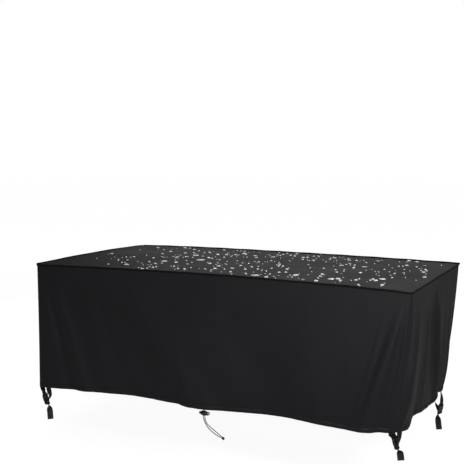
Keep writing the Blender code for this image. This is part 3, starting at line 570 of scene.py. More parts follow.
def makeStrand(node):
    count, around = drawcord["rings"], drawcord["sides"]
    line = smoothRoute(drawcord["routes"][node], count) + np.array([0.0, 0.0, lift])
    steps = np.linalg.norm(np.diff(line, axis=0), axis=1)
    gone = np.concatenate([[0.0], np.cumsum(steps)])
    ahead = unit(np.gradient(line, axis=0))
    first = unit(np.cross(ahead, np.array([0.0, 1.0, 0.0])))
    second = np.cross(ahead, first)
    angle = np.linspace(0, 2 * math.pi, around, endpoint=False)
    twist = 2 * math.pi * gone[:, None] / drawcord["braidPitch"]
    turned = drawcord["braidTurns"] / 2 * angle
    waves = np.cos(turned + twist) * np.cos(turned - twist)
    radius = drawcord["diameter"] / 2 - drawcord["braid"] + drawcord["braid"] * waves
    ends = np.ones(count)
    ends[[0, -1]], ends[[1, -2]] = drawcord["ends"]
    radius = radius * ends[:, None]
    points = line[:, None] + radius[..., None] * (
        np.cos(angle)[:, None] * first[:, None] + np.sin(angle)[:, None] * second[:, None]
    )
    uv = np.stack(np.broadcast_arrays(angle * drawcord["diameter"] / 2, gone[:, None]), axis=-1)
    name = "cordStrand" + node.split("_")[1].capitalize()
    piece = gridPiece(name, points[::-1], uv[::-1], cordBraid, closed=True)
    stand(piece, node)
    print("drawcord strand", node, "length", round(float(gone[-1]), 4))


for node in drawcord["routes"]:
    makeStrand(node)

# Small forms of the cloth over the main folds: the same columns as the folds table.
creases = {
    "front": (
        (0.13, 0.20, 1.0, 0.030, 0.022, 0.0014, 0.00, 0.20),
        (0.30, 0.46, 1.0, 0.022, 0.030, 0.0016, 0.00, 0.35),
        (0.36, 0.58, 1.0, 0.018, 0.030, -0.0018, 0.02, 0.40),
        (0.72, 0.70, 1.0, 0.030, 0.040, -0.0022, 0.45, 0.90),
        (0.80, 1.12, 1.0, 0.050, 0.060, -0.0020, 0.10, 0.60),
        (1.05, 1.26, 1.0, 0.045, 0.050, 0.0016, 0.05, 0.60),
        (1.40, 1.36, 1.0, 0.050, 0.035, -0.0018, 0.30, 0.90),
        (1.56, 1.52, 1.0, 0.040, 0.030, 0.0018, 0.40, 0.95),
        (1.80, 1.72, 1.0, 0.040, 0.036, -0.0024, 0.20, 0.80),
        (2.00, 1.80, 1.2, 0.010, 0.016, 0.0030, 0.05, 0.50),
        (2.065, 1.89, 1.2, 0.007, 0.016, 0.0050, 0.02, 0.50),
        (2.085, 2.00, 1.3, 0.006, 0.014, 0.0030, 0.02, 0.40),
    ),
    "right": (
        (0.035, 0.05, 1.0, 0.008, 0.016, 0.0030, 0.03, 0.35),
        (0.12, 0.12, 1.0, 0.010, 0.016, -0.0026, 0.04, 0.45),
        (0.22, 0.22, 1.0, 0.016, 0.024, 0.0024, 0.05, 0.60),
        (0.36, 0.46, 1.0, 0.014, 0.022, 0.0028, 0.03, 0.50),
        (0.47, 0.66, 1.0, 0.010, 0.014, -0.0030, 0.02, 0.40),
        (0.60, 0.77, 1.0, 0.016, 0.020, 0.0030, 0.04, 0.50),
        (0.80, 0.86, 1.0, 0.020, 0.024, 0.0022, 0.08, 0.60),
        (0.97, 0.97, 1.0, 0.014, 0.024, -0.0024, 0.05, 0.50),
    ),
    "back": (
        (0.30, 0.42, 1.0, 0.030, 0.040, 0.0020, 0.05, 0.50),
        (0.95, 0.90, 1.0, 0.040, 0.050, -0.0022, 0.10, 0.60),
        (1.30, 1.24, 1.0, 0.030, 0.036, 0.0024, 0.10, 0.60),
        (1.75, 1.66, 1.0, 0.034, 0.040, -0.0020, 0.10, 0.70),
        (1.96, 1.80, 1.1, 0.014, 0.020, 0.0026, 0.04, 0.50),
    ),
    "left": (
        (0.20, 0.26, 1.0, 0.022, 0.030, 0.0022, 0.05, 0.50),
        (0.46, 0.50, 1.0, 0.018, 0.024, -0.0024, 0.08, 0.60),
        (0.70, 0.70, 1.0, 0.024, 0.030, 0.0022, 0.10, 0.60),
        (0.98, 0.94, 1.0, 0.020, 0.026, 0.0016, 0.10, 0.60),
    ),
}
clothLooks = {
    "thickness": 0.0012,
    "waves": 0.0009,  # height of the soft waves all over
    "gatherPitch": 0.052,  # metres between the drawcord's gathers
    "gatherDepth": 0.0016,
    "gatherReach": 0.10,  # share of the height that they run up the cloth
    "gatherWidths": (0.006, 0.013),
    "gatherDepths": (0.35, 1.0),  # as shares of the depth, and the next of the reach
    "gatherReaches": (0.5, 1.3),
    "gatherLean": 0.25,
    "stitchSink": 0.0011,  # how far the hem's stitching pulls the cloth in
    "seamSink": 0.0014,
    "seamWidth": 0.0045,
    "stitchWidth": 0.0022,
    "stitchProud": 0.0002,
    "seamColumns": (0.0, 0.0008, 0.0018, 0.0030, 0.0045, 0.0065),  # metres from the seam
    "seamClear": 0.0095,  # where the even columns start
    "bunching": 0.35,  # how much closer the columns lie near the seams
    "seed": 11,
}
# The soft waves: how many, their pitch in metres, their slant, and how far and how often they wander.
softWave = {
    "count": 9,
    "pitch": (0.10, 0.42),
    "slant": 0.35,
    "wander": 0.9,
    "wanderRate": 5.1,
}


def softWaves(u, v, seed):
    picks = np.random.default_rng(seed)
    total = np.zeros_like(u)
    for _ in range(softWave["count"]):
        pitch = picks.uniform(*softWave["pitch"])
        slant = picks.normal(0, softWave["slant"])
        phase = picks.uniform(0, 2 * math.pi)
        turn = 2 * math.pi / pitch
        wander = softWave["wander"] * np.sin(softWave["wanderRate"] * v + phase)
        total += pitch / softWave["pitch"][1] * np.sin(turn * (u + slant * v) + phase + wander)
    return total / math.sqrt(softWave["count"])


def gatherRows(side):
    picks = np.random.default_rng(clothLooks["seed"] + len(side))
    length = sides[side][2]
    count = int(length / clothLooks["gatherPitch"])
    places = (np.arange(count) + 0.5 + picks.uniform(-0.3, 0.3, count)) * length / count
    widths = picks.uniform(*clothLooks["gatherWidths"], count)
    depths = picks.uniform(*clothLooks["gatherDepths"], count) * clothLooks["gatherDepth"]
    reaches = picks.uniform(*clothLooks["gatherReaches"], count) * clothLooks["gatherReach"]
    leans = picks.uniform(-clothLooks["gatherLean"], clothLooks["gatherLean"], count)
    return np.stack([places, widths, depths, reaches, leans], axis=1)


def clothRelief(side):
    gathers = gatherRows(side)
    seed = clothLooks["seed"] + 10 * list(sides).index(side)

    def relief(along, t, seamAway, drop):
        below = t * drop
        away = smooth(seamAway / cover["foldFade"])
        out = foldSum(creases[side], along, t) * away
        out = out + clothLooks["waves"] * softWaves(along, below, seed) * away * smooth(t / 0.12)
        for place, wide, depth, reach, lean in gathers:
            rise = smooth((t - (1 - reach)) / reach)
            at = place + lean * (1 - t) * drop
            out = out - depth * rise * away * np.exp(-(((along - at) / wide) ** 2))
        stitch = drop - cover["hemHeight"]
        groove = np.exp(-(((below - stitch) / clothLooks["stitchWidth"]) ** 2))
        out = out - clothLooks["stitchSink"] * groove
        tuck = clothLooks["seamSink"] * (1 - smooth(seamAway / clothLooks["seamWidth"]))
        return out - tuck

    return relief


def graded(count, closeness):
    x = np.linspace(0, 1, count + 1)
    return x - closeness * np.sin(2 * math.pi * x) / (2 * math.pi)


def clothShares(side):
    length, columns = sides[side][2:4]
    inset = cover["seamGap"] / length * 0.7
    fine = np.array(clothLooks["seamColumns"]) / length
    clear = clothLooks["seamClear"] / length
    inner = graded(columns, clothLooks["bunching"])
    inner = inner[(inner > clear) & (inner < 1 - clear)]
    return inset + (1 - 2 * inset) * np.concatenate([fine, inner, 1 - fine[::-1]])


def clothHeights(side):
    rows = sides[side][4]
    stitch = 1 - cover["hemHeight"] / cover["meanDrop"]
    body = np.linspace(0, stitch - 0.008, rows)
    near = np.array([-0.0055, -0.003, -0.0012, 0.0, 0.0012, 0.003, 0.0055]) + stitch
    roll = stitch + (1 - stitch) * np.array([0.26, 0.4, 0.55, 0.7, 0.82, 0.9, 0.955, 0.985, 1.0])
    return np.concatenate([body, near, roll])


def makeSkirt(side):
    share, t = np.meshgrid(clothShares(side), clothHeights(side))
    points = skirtSurface(side, share, t, clothRelief(side))
    uv = np.stack([share * sides[side][2], (1 - t) * cover["meanDrop"]], axis=-1)
    piece = gridPiece(f"{side}Cloth", points, uv, coatedCloth)
    thicken(piece, clothLooks["thickness"], -1)
    stand(piece, f"skirt_{side}")


for side in sides:
    makeSkirt(side)
print("skirt made")

topLooks = {
    "across": 250,
    "down": 130,
    "rimInset": 0.010,
    "rimRows": (0.0, 0.0001, 0.0009, 0.0022, 0.0040, 0.0065),  # metres from the edge
    "bunching": 0.25,
    "rimRound": (0.0018, 1.6),  # how far in the rim's turn reaches, and its power
    "rimSink": 0.0006,
    "waves": 0.0007,
    "waveSqueeze": 1.7,
    "waveSeed": 5,
    "pucker": 0.0005,  # small puckers along the bound edges
    "puckerPitch": 0.034,
}


def rimSteps(count, length):
    inset = topLooks["rimInset"]
    rim = np.array(topLooks["rimRows"])
    middle = inset + (length - 2 * inset) * graded(count, topLooks["bunching"])
    return np.concatenate([rim, middle, length - rim[::-1]])


def topWaves(x, y):
    return topLooks["waves"] * softWaves(x, y * topLooks["waveSqueeze"], topLooks["waveSeed"])


def makeTop():
    length, width, radius = cover["length"], cover["width"], cover["topRadius"]
    across, down = np.meshgrid(rimSteps(topLooks["across"], length), rimSteps(topLooks["down"], width))
    a = np.minimum(across, length - across)
    b = np.minimum(down, width - down)
    depth = np.minimum(a, b)
    inCorner = (a < radius) & (b < radius)
    swing = np.maximum(radius - depth, 1e-9)
    angle = quarter * (radius - np.maximum(a, b)) / swing
    near = radius - swing * np.cos(angle)
    far = radius - swing * np.sin(angle)
    a2 = np.where(inCorner, np.where(a <= b, near, far), a)
    b2 = np.where(inCorner, np.where(a <= b, far, near), b)
    x = np.where(across < length / 2, a2 - halfX, halfX - a2)
    y = np.where(down < width / 2, halfY - b2, b2 - halfY)
    reach, power = topLooks["rimRound"]
    rim = cover["rimDrop"] * (1 - np.clip(depth / reach, 0, 1)) ** power
    rim = rim + topLooks["rimSink"] * (1 - smooth(depth / 0.006))
    z = topHeight(x, y) - rim + lift
    inner = smooth((depth - 0.004) / 0.05)
    z = z + topWaves(x, y) * inner
    edge = np.where(a < b, down, across)
    pucker = np.sin(2 * math.pi * edge / topLooks["puckerPitch"] + 3 * np.sin(7 * edge))
    near = smooth((depth - 0.003) / 0.006) * (1 - smooth((depth - 0.012) / 0.05))
    z = z + topLooks["pucker"] * pucker * near
    uv = np.stack([x, y], axis=-1)
    piece = gridPiece("topCloth", np.stack([x, y, z], axis=-1), uv, coatedCloth)
    thicken(piece, clothLooks["thickness"], -1)
    stand(piece, "top_panel")


makeTop()
print("top made")

# The bindings: how far each stands above the top, its height, and how far it runs on as an ear.
bindings = {
    "front": (0.0005, 0.010, 0.0),
    "right": (0.0010, 0.008, 0.0),
    "back": (0.0060, 0.010, 0.009),
    "left": (0.0050, 0.010, 0.0),
}
bindingLooks = {
    "columns": 520,
    "thickness": 0.0021,
    "ripple": 0.0006,
    "edgeRound": 0.0009,
    "clear": 0.0003,  # from the cloth
    "turnAt": 0.03,
    "groove": 0.00045,  # how deep its stitching lies
    "grooveAt": 0.72,  # share of the height down
    "stitchProud": 0.0001,
    "around": 0.022,  # the tape's width round its fold
    "endInset": 0.0004,
    "rippleTurns": (31, 17),  # along X and along Y
    "sway": 0.00025,
    "swayTurns": (73, -51),
}


def sideAxes(side):
    x0, y0 = toWorld(side, 0.0, 0.0)
    x1, y1 = toWorld(side, 1.0, 0.0)
    x2, y2 = toWorld(side, 0.0, 1.0)
    return np.array([x1 - x0, y1 - y0, 0.0]), np.array([x2 - x0, y2 - y0, 0.0])


def bindingFrame(side, count):
    share = np.linspace(0.0, 1.0, count) * (1 - 2 * bindingLooks["endInset"]) + bindingLooks["endInset"]
    spot = skirtSurface(side, share, np.zeros(count), rolled=False)
    ahead = np.gradient(spot, axis=0)
    ahead[:, 2] = 0
    ahead = unit(ahead)
    out = np.stack([ahead[:, 1], -ahead[:, 0], np.zeros(count)], axis=1)
    ear = bindings[side][2]
    if ear:
        sideAlong, sideOut = sideAxes(side)
        turnAt = bindingLooks["turnAt"]
        k = int(np.searchsorted(share, turnAt))
        behind = (1 - share[:k] / turnAt) * (turnAt * sides[side][2] + ear)
        spot[:k] = spot[k] - sideAlong * behind[:, None]
        out[:k] = sideOut
    edge = topHeight(spot[:, 0], spot[:, 1]) + lift
    return spot, out, edge


def makeBinding(side):
    above, height, _ = bindings[side]
    count = bindingLooks["columns"] if side in ("front", "back") else bindingLooks["columns"] // 2
    spot, out, edge = bindingFrame(side, count)
    thick, bevel = bindingLooks["thickness"], bindingLooks["edgeRound"]
    inner = cover["seamGap"] + bindingLooks["clear"]
    outer = inner + thick
    profile = [
        (inner, -0.4 * bevel),
        (inner + 0.5 * bevel, 0.0),
        (outer - 0.6 * bevel, 0.0),
        (outer, -0.5 * bevel),
        (outer + 0.0001, -0.30 * height),
        (outer + 0.0001, -0.62 * height),
        (outer - bindingLooks["groove"], -bindingLooks["grooveAt"] * height),
        (outer - 0.0001, -0.82 * height),
        (outer - 0.0002, -height + 0.5 * bevel),
        (outer - 0.7 * bevel, -height),
        (inner, -height + 0.2 * bevel),
    ]
    wave = bindingLooks["ripple"] * np.sin(spot[:, :2] @ bindingLooks["rippleTurns"])
    sway = bindingLooks["sway"] * np.sin(spot[:, :2] @ bindingLooks["swayTurns"])
    points = []
    for reach, drop in profile:
        place = spot + out * (reach + sway[:, None])
        place[:, 2] = edge + above + wave + drop
        points.append(place)
    points = np.stack(points)
    caps = []
    for ring in (points[:, :1], points[:, -1:]):
        centre = ring.mean(axis=0, keepdims=True)
        caps.append(centre + (ring - centre) * 0.02)
    points = np.concatenate([caps[0], points, caps[1]], axis=1)
    gone = np.linspace(0, sides[side][2], points.shape[1])
    around = np.linspace(0, bindingLooks["around"], len(profile))
    uv = np.stack(np.meshgrid(gone, around), axis=-1)
    points, uv = points.transpose(1, 0, 2)[::-1], uv.transpose(1, 0, 2)[::-1]
    piece = gridPiece(f"{side}Binding", points, uv, bindingTape, closed=True)
    stand(piece, f"binding_{side}")
    line = spot + out * (outer - bindingLooks["groove"] + bindingLooks["stitchProud"])
    line[:, 2] = edge + above + wave - bindingLooks["grooveAt"] * height
    return line[1:-1]


bindingLines = [makeBinding(side) for side in sides]
print("bindings made")

# The corner straps, as their solids lie. A root is a side and metres along its hem from its start
# seam, or from its end seam where it is negative. Bar and end are places, in metres.
straps = {
    "front_left": {
        "short": ("left", -0.022),
        "long": ("front", 0.068),
        "lead": 0.021,  # straight above the socket
        "bar": (-1.012, -0.520, -0.790),
        "yaw": 8,
        "lean": -17,
        "facing": 1,
        "way": -1,
        "late": 2.0,  # how late the long strap turns from its root's way to the buckle's
        "bulge": 0.010,
        "end": (-0.981, -0.530, -0.879),
        "turn": 122,
    },
    "front_right": {
        "short": ("front", -0.022),
        "long": ("right", 0.020),
        "lead": 0.006,
        "bar": (0.953, -0.378, -0.760),
        "yaw": -10,
        "lean": -16,
        "facing": 1,
        "way": 1,
        "late": 0.7,
        "bulge": 0.002,
        "end": (0.977, -0.386, -0.818),
        "turn": 114,
    },
    "back_right": {
        "short": ("right", -0.052),
        "long": ("back", 0.022),
        "lead": 0.021,
        "bar": (0.994, 0.392, -0.819),
        "yaw": -20,
        "lean": 8,
        "facing": -1,
        "way": -1,
        "late": 2.0,
        "bulge": -0.014,
        "end": (0.994, 0.388, -0.915),
        "turn": 121,
    },
    "back_left": {
        "short": ("back", -0.028),
        "long": ("left", 0.030),
        "lead": 0.021,
        "bar": (-0.972, 0.444, -0.800),
        "yaw": 0,
        "lean": 8,
        "facing": -1,
        "way": 1,
        "late": 1.0,
        "bulge": -0.008,
        "end": (-1.000, 0.440, -0.886),
        "turn": -65,
    },
}
strapLooks = {
    "width": 0.032,
    "thickness": 0.0014,
    "sewnGap": 0.00105,
    "solid": 0.0015,
    "rootRows": (0.969, 0.985, 1.0),  # down the skirt, from its top to its hem
    "probe": 0.002,
    "below": 0.007,  # straight under the hem
    "ribs": 8,
    "ribDepth": 0.0003,
    "columns": 25,
    "finer": 3,
    "socketHead": 0.048,
    "headBar": 0.0033,
    "loopRadius": 0.0035,
    "loopStart": -0.0007,
    "loopTail": ((0.0023, 0.005), (0.0017, 0.010)),  # across, and up from the socket's head
    "tailSway": 0.004,
    "tailTurned": 0.6,  # share of the tail in which its turn is done
    "tailPower": 2.2,
}
# The long strap's way round the ladder bar, across and up from the bar's middle, in millimetres.
ladderRoute = (
    (7.6, 12.0), (6.6, 8.0), (5.4, 4.8), (4.4, 3.3), (3.2, 2.75), (0.0, 2.7),
    (-3.4, 2.75), (-4.25, 1.7), (-4.4, 0.0), (-4.25, -1.7), (-3.4, -2.75),
    (0.0, -2.7), (3.2, -2.75), (4.4, -3.4), (5.3, -5.2), (5.6, -9.0),
)


def hemPlace(side, metres, t):
    run = sideRun(side, 1.0)[4]
    share = metres / run if metres > 0 else 1 + metres / run
    probe = strapLooks["probe"]
    shares = np.clip(np.array([share - probe, share, share + probe]), 0.0, 1.0)
    before, spot, after = skirtSurface(side, shares, np.full(3, t), rolled=False)
    along = Vector(after - before).normalized()
    out = along.cross(Vector((0, 0, 1))).normalized()
    inward = cover["cloth"] + strapLooks["sewnGap"] + strapLooks["solid"] / 2
    return Vector(spot) - out * inward, along


def rootStations(side, metres):
    made = []
    for t in strapLooks["rootRows"]:
        middle, tangent = hemPlace(side, metres, t)
        reaches = (-strapLooks["width"] / 2, 0.0, strapLooks["width"] / 2)
        bend = [hemPlace(side, metres + r, t)[0] - middle - tangent * r for r in reaches]
        made.append((middle, tangent, bend))
    middle, tangent, bend = made[-1]
    made.append((middle - Vector((0, 0, strapLooks["below"])), tangent, bend))
    return made


def buckleMatrix(row):
    yaw = Matrix.Rotation(math.radians(row["yaw"]), 4, "Z")
    lean = Matrix.Rotation(math.radians(row["lean"]), 4, "Y")
    facing = Matrix.Rotation(0.0 if row["facing"] > 0 else math.pi, 4, "Z")
    return Matrix.Translation(Vector(row["bar"]) + Vector((0, 0, lift))) @ yaw @ lean @ facing


def buckleWidth(place, rootAcross):
    widthWay = place.to_3x3() @ Vector((0, 1, 0))
    return widthWay if widthWay.dot(rootAcross) > 0 else -widthWay


def strapStations(roots, steps, widthWay, free, twists, late=1.0):
    rootAcross, rootBend = roots[-1][1:]
    flat = [Vector((0, 0, 0))] * 3
    route = [station[0] for station in roots] + steps + free
    acrosses = [station[1] for station in roots]
    bends = [station[2] for station in roots]
    for k in range(len(steps)):
        amount = float(smooth((k + 1) / (len(steps) + 1)))
        part = amount**late
        acrosses.append((rootAcross * (1 - part) + widthWay * part).normalized())
        bends.append([offset * (1 - amount) ** 2 for offset in rootBend])
    for twist in twists:
        acrosses.append(Matrix.Rotation(math.radians(twist), 3, "Z") @ widthWay)
        bends.append(flat)
    made = []
    for k, point in enumerate(route):
        ahead = (route[min(k + 1, len(route) - 1)] - route[max(k - 1, 0)]).normalized()
        across = (acrosses[k] - ahead * acrosses[k].dot(ahead)).normalized()
        made.append((point, across, bends[k]))
    return made


def halfTurn(centreZ, radius, start, end, steps):
    angles = [math.radians(start + (end - start) * k / steps) for k in range(steps + 1)]
    return [Vector((radius * math.cos(a), 0, centreZ + radius * math.sin(a))) for a in angles]


def shortStations(row):
    place = buckleMatrix(row)
    roots = rootStations(*row["short"])
    rootEnd, rootAcross = roots[-1][:2]
    widthWay = buckleWidth(place, rootAcross)
    head = strapLooks["socketHead"]
    loop = [Vector((strapLooks["loopStart"], 0, head + row["lead"]))]
    loop += halfTurn(head - strapLooks["headBar"] / 2, strapLooks["loopRadius"], 180, 360, 6)
    loop += [Vector((x, 0, head + z)) for x, z in strapLooks["loopTail"]]
    loop = [place @ point for point in loop]
    between = [rootEnd.lerp(loop[0], k / 4) for k in range(1, 4)]
    return strapStations(roots, between, widthWay, loop, [0.0] * len(loop))


def longStations(row):
    place = buckleMatrix(row)
    roots = rootStations(*row["long"])
    rootEnd = roots[-1][0]
    widthWay = place.to_3x3() @ Vector((0, row["way"], 0))
    sway = Vector((row["bulge"], 0, 0))
    through = [place @ Vector((x / 1000, 0, z / 1000)) for x, z in ladderRoute]
    middle = rootEnd.lerp(through[0], 0.5) + sway
    fall = [Vector(p) for p in smoothRoute([rootEnd, middle, through[0]], 10)[1:-1]]
    last = through[-1]
    end = Vector(row["end"]) + Vector((0, 0, lift))
    swing = last.lerp(end, 0.4) + sway.normalized() * strapLooks["tailSway"]
    tail = [Vector(p) for p in smoothRoute([last, swing, end], 12)[1:]]
    twists = [0.0] * len(through)
    for k in range(len(tail)):
        left = 1 - min((k + 1) / (strapLooks["tailTurned"] * len(tail)), 1.0)
        twists.append(row["turn"] * (1 - left ** strapLooks["tailPower"]))
    return strapStations(roots, fall, widthWay, through + tail, twists, row["late"])


def finerStations(stations, factor):
    table = np.array([[*middle, *across, *bend[0], *bend[2]] for middle, across, bend in stations])
    steps = np.linalg.norm(np.diff(table[:, :3], axis=0), axis=1)
    gone = np.concatenate([[0.0], np.cumsum(steps)])
    steps = np.linspace(0, len(gone) - 1, factor * (len(gone) - 1) + 1)
    places = np.interp(steps, np.arange(len(gone)), gone)
    return readColumns(gone, table, places), places


def makeStrap(name, stations, node):
    fine, gone = finerStations(stations, strapLooks["finer"])
    across = np.linspace(-1, 1, strapLooks["columns"])
    middle = fine[:, None, 0:3]
    sideways = unit(fine[:, 3:6])[:, None]
    ahead = unit(np.gradient(fine[:, :3], axis=0))
    up = unit(np.cross(sideways[:, 0], ahead))[:, None]
    half = np.where(across[None, :, None] < 0, fine[:, None, 6:9], fine[:, None, 9:12])
    bend = (across**2)[None, :, None] * half
    rib = np.cos(2 * math.pi * strapLooks["ribs"] * across / 2) * strapLooks["ribDepth"]
    aside = across * strapLooks["width"] / 2
    points = middle + sideways * aside[None, :, None] + bend + up * rib[None, :, None]
    u = np.broadcast_to(aside, points.shape[:2])
    v = np.broadcast_to(gone[:, None], points.shape[:2])
    piece = gridPiece(name, points, np.stack([u, v], axis=-1), webbing)
    thicken(piece, strapLooks["thickness"], 0)
    stand(piece, node)


for corner, row in straps.items():
    label = corner.title().replace("_", "")
    for kind, stations in (("short", shortStations(row)), ("long", longStations(row))):
        makeStrap(f"{kind}Strap{label}", stations, f"strap_{kind}_{corner}")
print("straps made")

plasticNodes = ["cord_lock_body", "cord_lock_button", "cord_end"]
plasticNodes += [f"buckle_{half}_{corner}" for half in ("plug", "socket") for corner in straps]
for name in plasticNodes:
    for materialSlot in nodes[name].material_slots:
        materialSlot.link = "OBJECT"
        materialSlot.material = mouldedPlastic


# Stitches, set along lines by Geometry Nodes and made one plain mesh.
def makeRepeatTree(name, inputs):
    inputs = {"Geometry": "Geometry", **inputs, "Finish": "Material"}
    return makeTree(name, "GeometryNodeTree", inputs, {"Geometry": "Geometry"})


def endTree(tree, geometry, given, result):
    real, shade = add(tree, "GeometryNodeRealizeInstances"), add(tree, "GeometryNodeSetShadeSmooth")
    paint = add(tree, "GeometryNodeSetMaterial")
    wire(tree, [
        (geometry, real.inputs[0]),
        (real.outputs[0], shade.inputs[0]),
        (shade.outputs[0], paint.inputs[0]),
        (given["Finish"], paint.inputs["Material"]),
        (paint.outputs[0], result["Geometry"]),
    ])


def makeStitchTree():
    inputs = {"Pitch": "Float", "Stitch Length": "Float", "Thread": "Float"}
    tree, given, result = makeRepeatTree("stitchesAlongLine", inputs)
    toCurve = add(tree, "GeometryNodeMeshToCurve")
    even = add(tree, "GeometryNodeResampleCurve", mode="LENGTH")
    tangent = add(tree, "GeometryNodeInputTangent")
    align = add(tree, "FunctionNodeAlignRotationToVector", axis="Z")
    grain = add(tree, "GeometryNodeMeshIcoSphere", {"Radius": 0.5, "Subdivisions": 1})
    put, size = add(tree, "GeometryNodeInstanceOnPoints"), add(tree, "ShaderNodeCombineXYZ")
    wire(tree, [
        (given["Geometry"], toCurve.inputs[0]),
        (toCurve.outputs[0], even.inputs["Curve"]),
        (given["Pitch"], even.inputs["Length"]),
        (even.outputs[0], put.inputs["Points"]),
        (grain.outputs["Mesh"], put.inputs["Instance"]),
        (tangent.outputs[0], align.inputs["Vector"]),
        (align.outputs[0], put.inputs["Rotation"]),
        (given["Thread"], size.inputs[0]),
        (given["Thread"], size.inputs[1]),
        (given["Stitch Length"], size.inputs[2]),
        (size.outputs[0], put.inputs["Scale"]),
    ])
    endTree(tree, put.outputs[0], given, result)
    return tree


stitchTree = makeStitchTree()
stitchLooks = {"Pitch": 0.0048, "Stitch Length": 0.0036, "Thread": 0.0008, "Finish": sewingThread}


def spread(piece, tree, values):
    modifier = piece.modifiers.new("repeat", "NODES")
    modifier.node_group = tree
    for socket in tree.interface.items_tree:
        if socket.in_out == "INPUT" and socket.name in values:
            modifier[socket.identifier] = values[socket.name]
    bpy.context.view_layer.update()
    shown = piece.evaluated_get(bpy.context.evaluated_depsgraph_get())
    mesh = bpy.data.meshes.new_from_object(shown)
    piece.modifiers.clear()
    piece.data = mesh
    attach(piece, "cover")


def makeStitches(name, lines, values):
    points, edges = [], []
    for line in lines:
        start = len(points)
        points += np.asarray(line).tolist()
        edges += [(k, k + 1) for k in range(start, len(points) - 1)]
    mesh = bpy.data.meshes.new(name)
    mesh.from_pydata(points, edges, [])
    spread(linked(name, mesh), stitchTree, values)


def hemLine(side):
    share = clothShares(side)[2:-2]
    height = np.full(len(share), 1 - cover["hemHeight"] / cover["meanDrop"])
    line = skirtSurface(side, share, height, clothRelief(side))
    ahead = np.gradient(line, axis=0)
    ahead[:, 2] = 0
    ahead = unit(ahead)
    out = np.stack([ahead[:, 1], -ahead[:, 0], np.zeros(len(line))], axis=1)
    return line + out * clothLooks["stitchProud"]


makeStitches("hemStitches", [hemLine(side) for side in sides], stitchLooks)
makeStitches("bindingStitches", bindingLines, stitchLooks)
print("stitches made")

# Water drops on the top: a piece of its own that can be left off.
# The drops' whitish base colour is painted reflection of the studio light. Clear water would show the
# dark cloth through it, with bright glints.
waterPaintedGlintFinish = {
    "specular": 0.5,
    "mottle": (9.0, (0.42, 0.42, 0.45), (0.95, 0.95, 0.98), 0.16, 0.05),
    "bending": 1.33,  # of light
}
drops = {
    "Beads": 175.0,  # a square metre, thinning out to the left
    "Bead Width": 0.026,
    "Bead Height": 0.011,
    "Puddles": 9.0,
    "Puddle Width": 0.060,
    "Puddle Height": 0.007,
    "Seed": 4,
}
dropShape = {
    "skew": 2.2,  # many small drops to a large one
    "smallest": 0.25,  # share of the full width
    "heightPower": 0.5,
    "narrowest": 0.55,  # length for its width, and how much it varies
    "longer": 0.5,
    "foot": -0.08,  # where the ball is cut flat
}
dropField = {
    "across": (-1.02, 1.0),
    "down": (0.515, -0.528),
    "cells": (60, 30),
    "above": 0.0002,
    "thinning": {"From Min": -1.05, "From Max": -0.35, "To Min": 0.08, "To Max": 1.0},
}


def makeDropTree(shape, thinning):
    inputs = {label: "Float" for label in drops} | {"Seed": "Int"}
    tree, given, result = makeRepeatTree("dropsOnCloth", inputs)
    where, corner = add(tree, "ShaderNodeSeparateXYZ"), add(tree, "ShaderNodeSeparateXYZ")
    place = add(tree, "GeometryNodeInputPosition").outputs[0]
    rise = add(tree, "ShaderNodeMapRange", thinning, interpolation_type="SMOOTHSTEP")
    ball = add(tree, "GeometryNodeMeshIcoSphere", {"Radius": 0.5, "Subdivisions": 2})
    flatten, low = add(tree, "GeometryNodeSetPosition"), add(tree, "ShaderNodeCombineXYZ")
    wire(tree, [
        (place, where.inputs[0]),
        (place, corner.inputs[0]),
        (where.outputs[0], rise.inputs["Value"]),
        (ball.outputs["Mesh"], flatten.inputs["Geometry"]),
        (corner.outputs[0], low.inputs[0]),
        (corner.outputs[1], low.inputs[1]),
        (mathNode(tree, "MAXIMUM", corner.outputs[2], shape["foot"]), low.inputs[2]),
        (low.outputs[0], flatten.inputs["Position"]),
    ])
    both = add(tree, "GeometryNodeJoinGeometry")
    for kind, label in enumerate(("Bead", "Puddle")):
        chances = []
        for k in range(3):
            chance = add(tree, "FunctionNodeRandomValue", {"Seed": 10 * kind + k}, data_type="FLOAT")
            chances.append(chance.outputs[1])
        wide, long, angle = chances
        skewed = mathNode(tree, "POWER", wide, shape["skew"])
        skewed = mathNode(tree, "MULTIPLY", skewed, 1 - shape["smallest"])
        skewed = mathNode(tree, "ADD", skewed, shape["smallest"])
        width = mathNode(tree, "MULTIPLY", skewed, given[f"{label} Width"])
        stretch = mathNode(tree, "MULTIPLY", long, shape["longer"])
        stretch = mathNode(tree, "ADD", stretch, shape["narrowest"])
        tall = mathNode(tree, "POWER", skewed, shape["heightPower"])
        tall = mathNode(tree, "MULTIPLY", tall, given[f"{label} Height"])
        crowd = mathNode(tree, "MULTIPLY", rise.outputs["Result"], given[f"{label}s"])
        points = add(tree, "GeometryNodeDistributePointsOnFaces")
        put = add(tree, "GeometryNodeInstanceOnPoints")
        size, turn = add(tree, "ShaderNodeCombineXYZ"), add(tree, "ShaderNodeCombineXYZ")
        wire(tree, [
            (given["Geometry"], points.inputs["Mesh"]),
            (crowd, points.inputs["Density"]),
            (mathNode(tree, "ADD", given["Seed"], kind), points.inputs["Seed"]),
            (points.outputs["Points"], put.inputs["Points"]),
            (flatten.outputs[0], put.inputs["Instance"]),
            (width, size.inputs[0]),
            (mathNode(tree, "MULTIPLY", width, stretch), size.inputs[1]),
            (tall, size.inputs[2]),
            (mathNode(tree, "MULTIPLY", angle, math.pi), turn.inputs[2]),
            (turn.outputs[0], put.inputs["Rotation"]),
            (size.outputs[0], put.inputs["Scale"]),
            (put.outputs[0], both.inputs[0]),
        ])
    endTree(tree, both.outputs[0], given, result)
    return tree


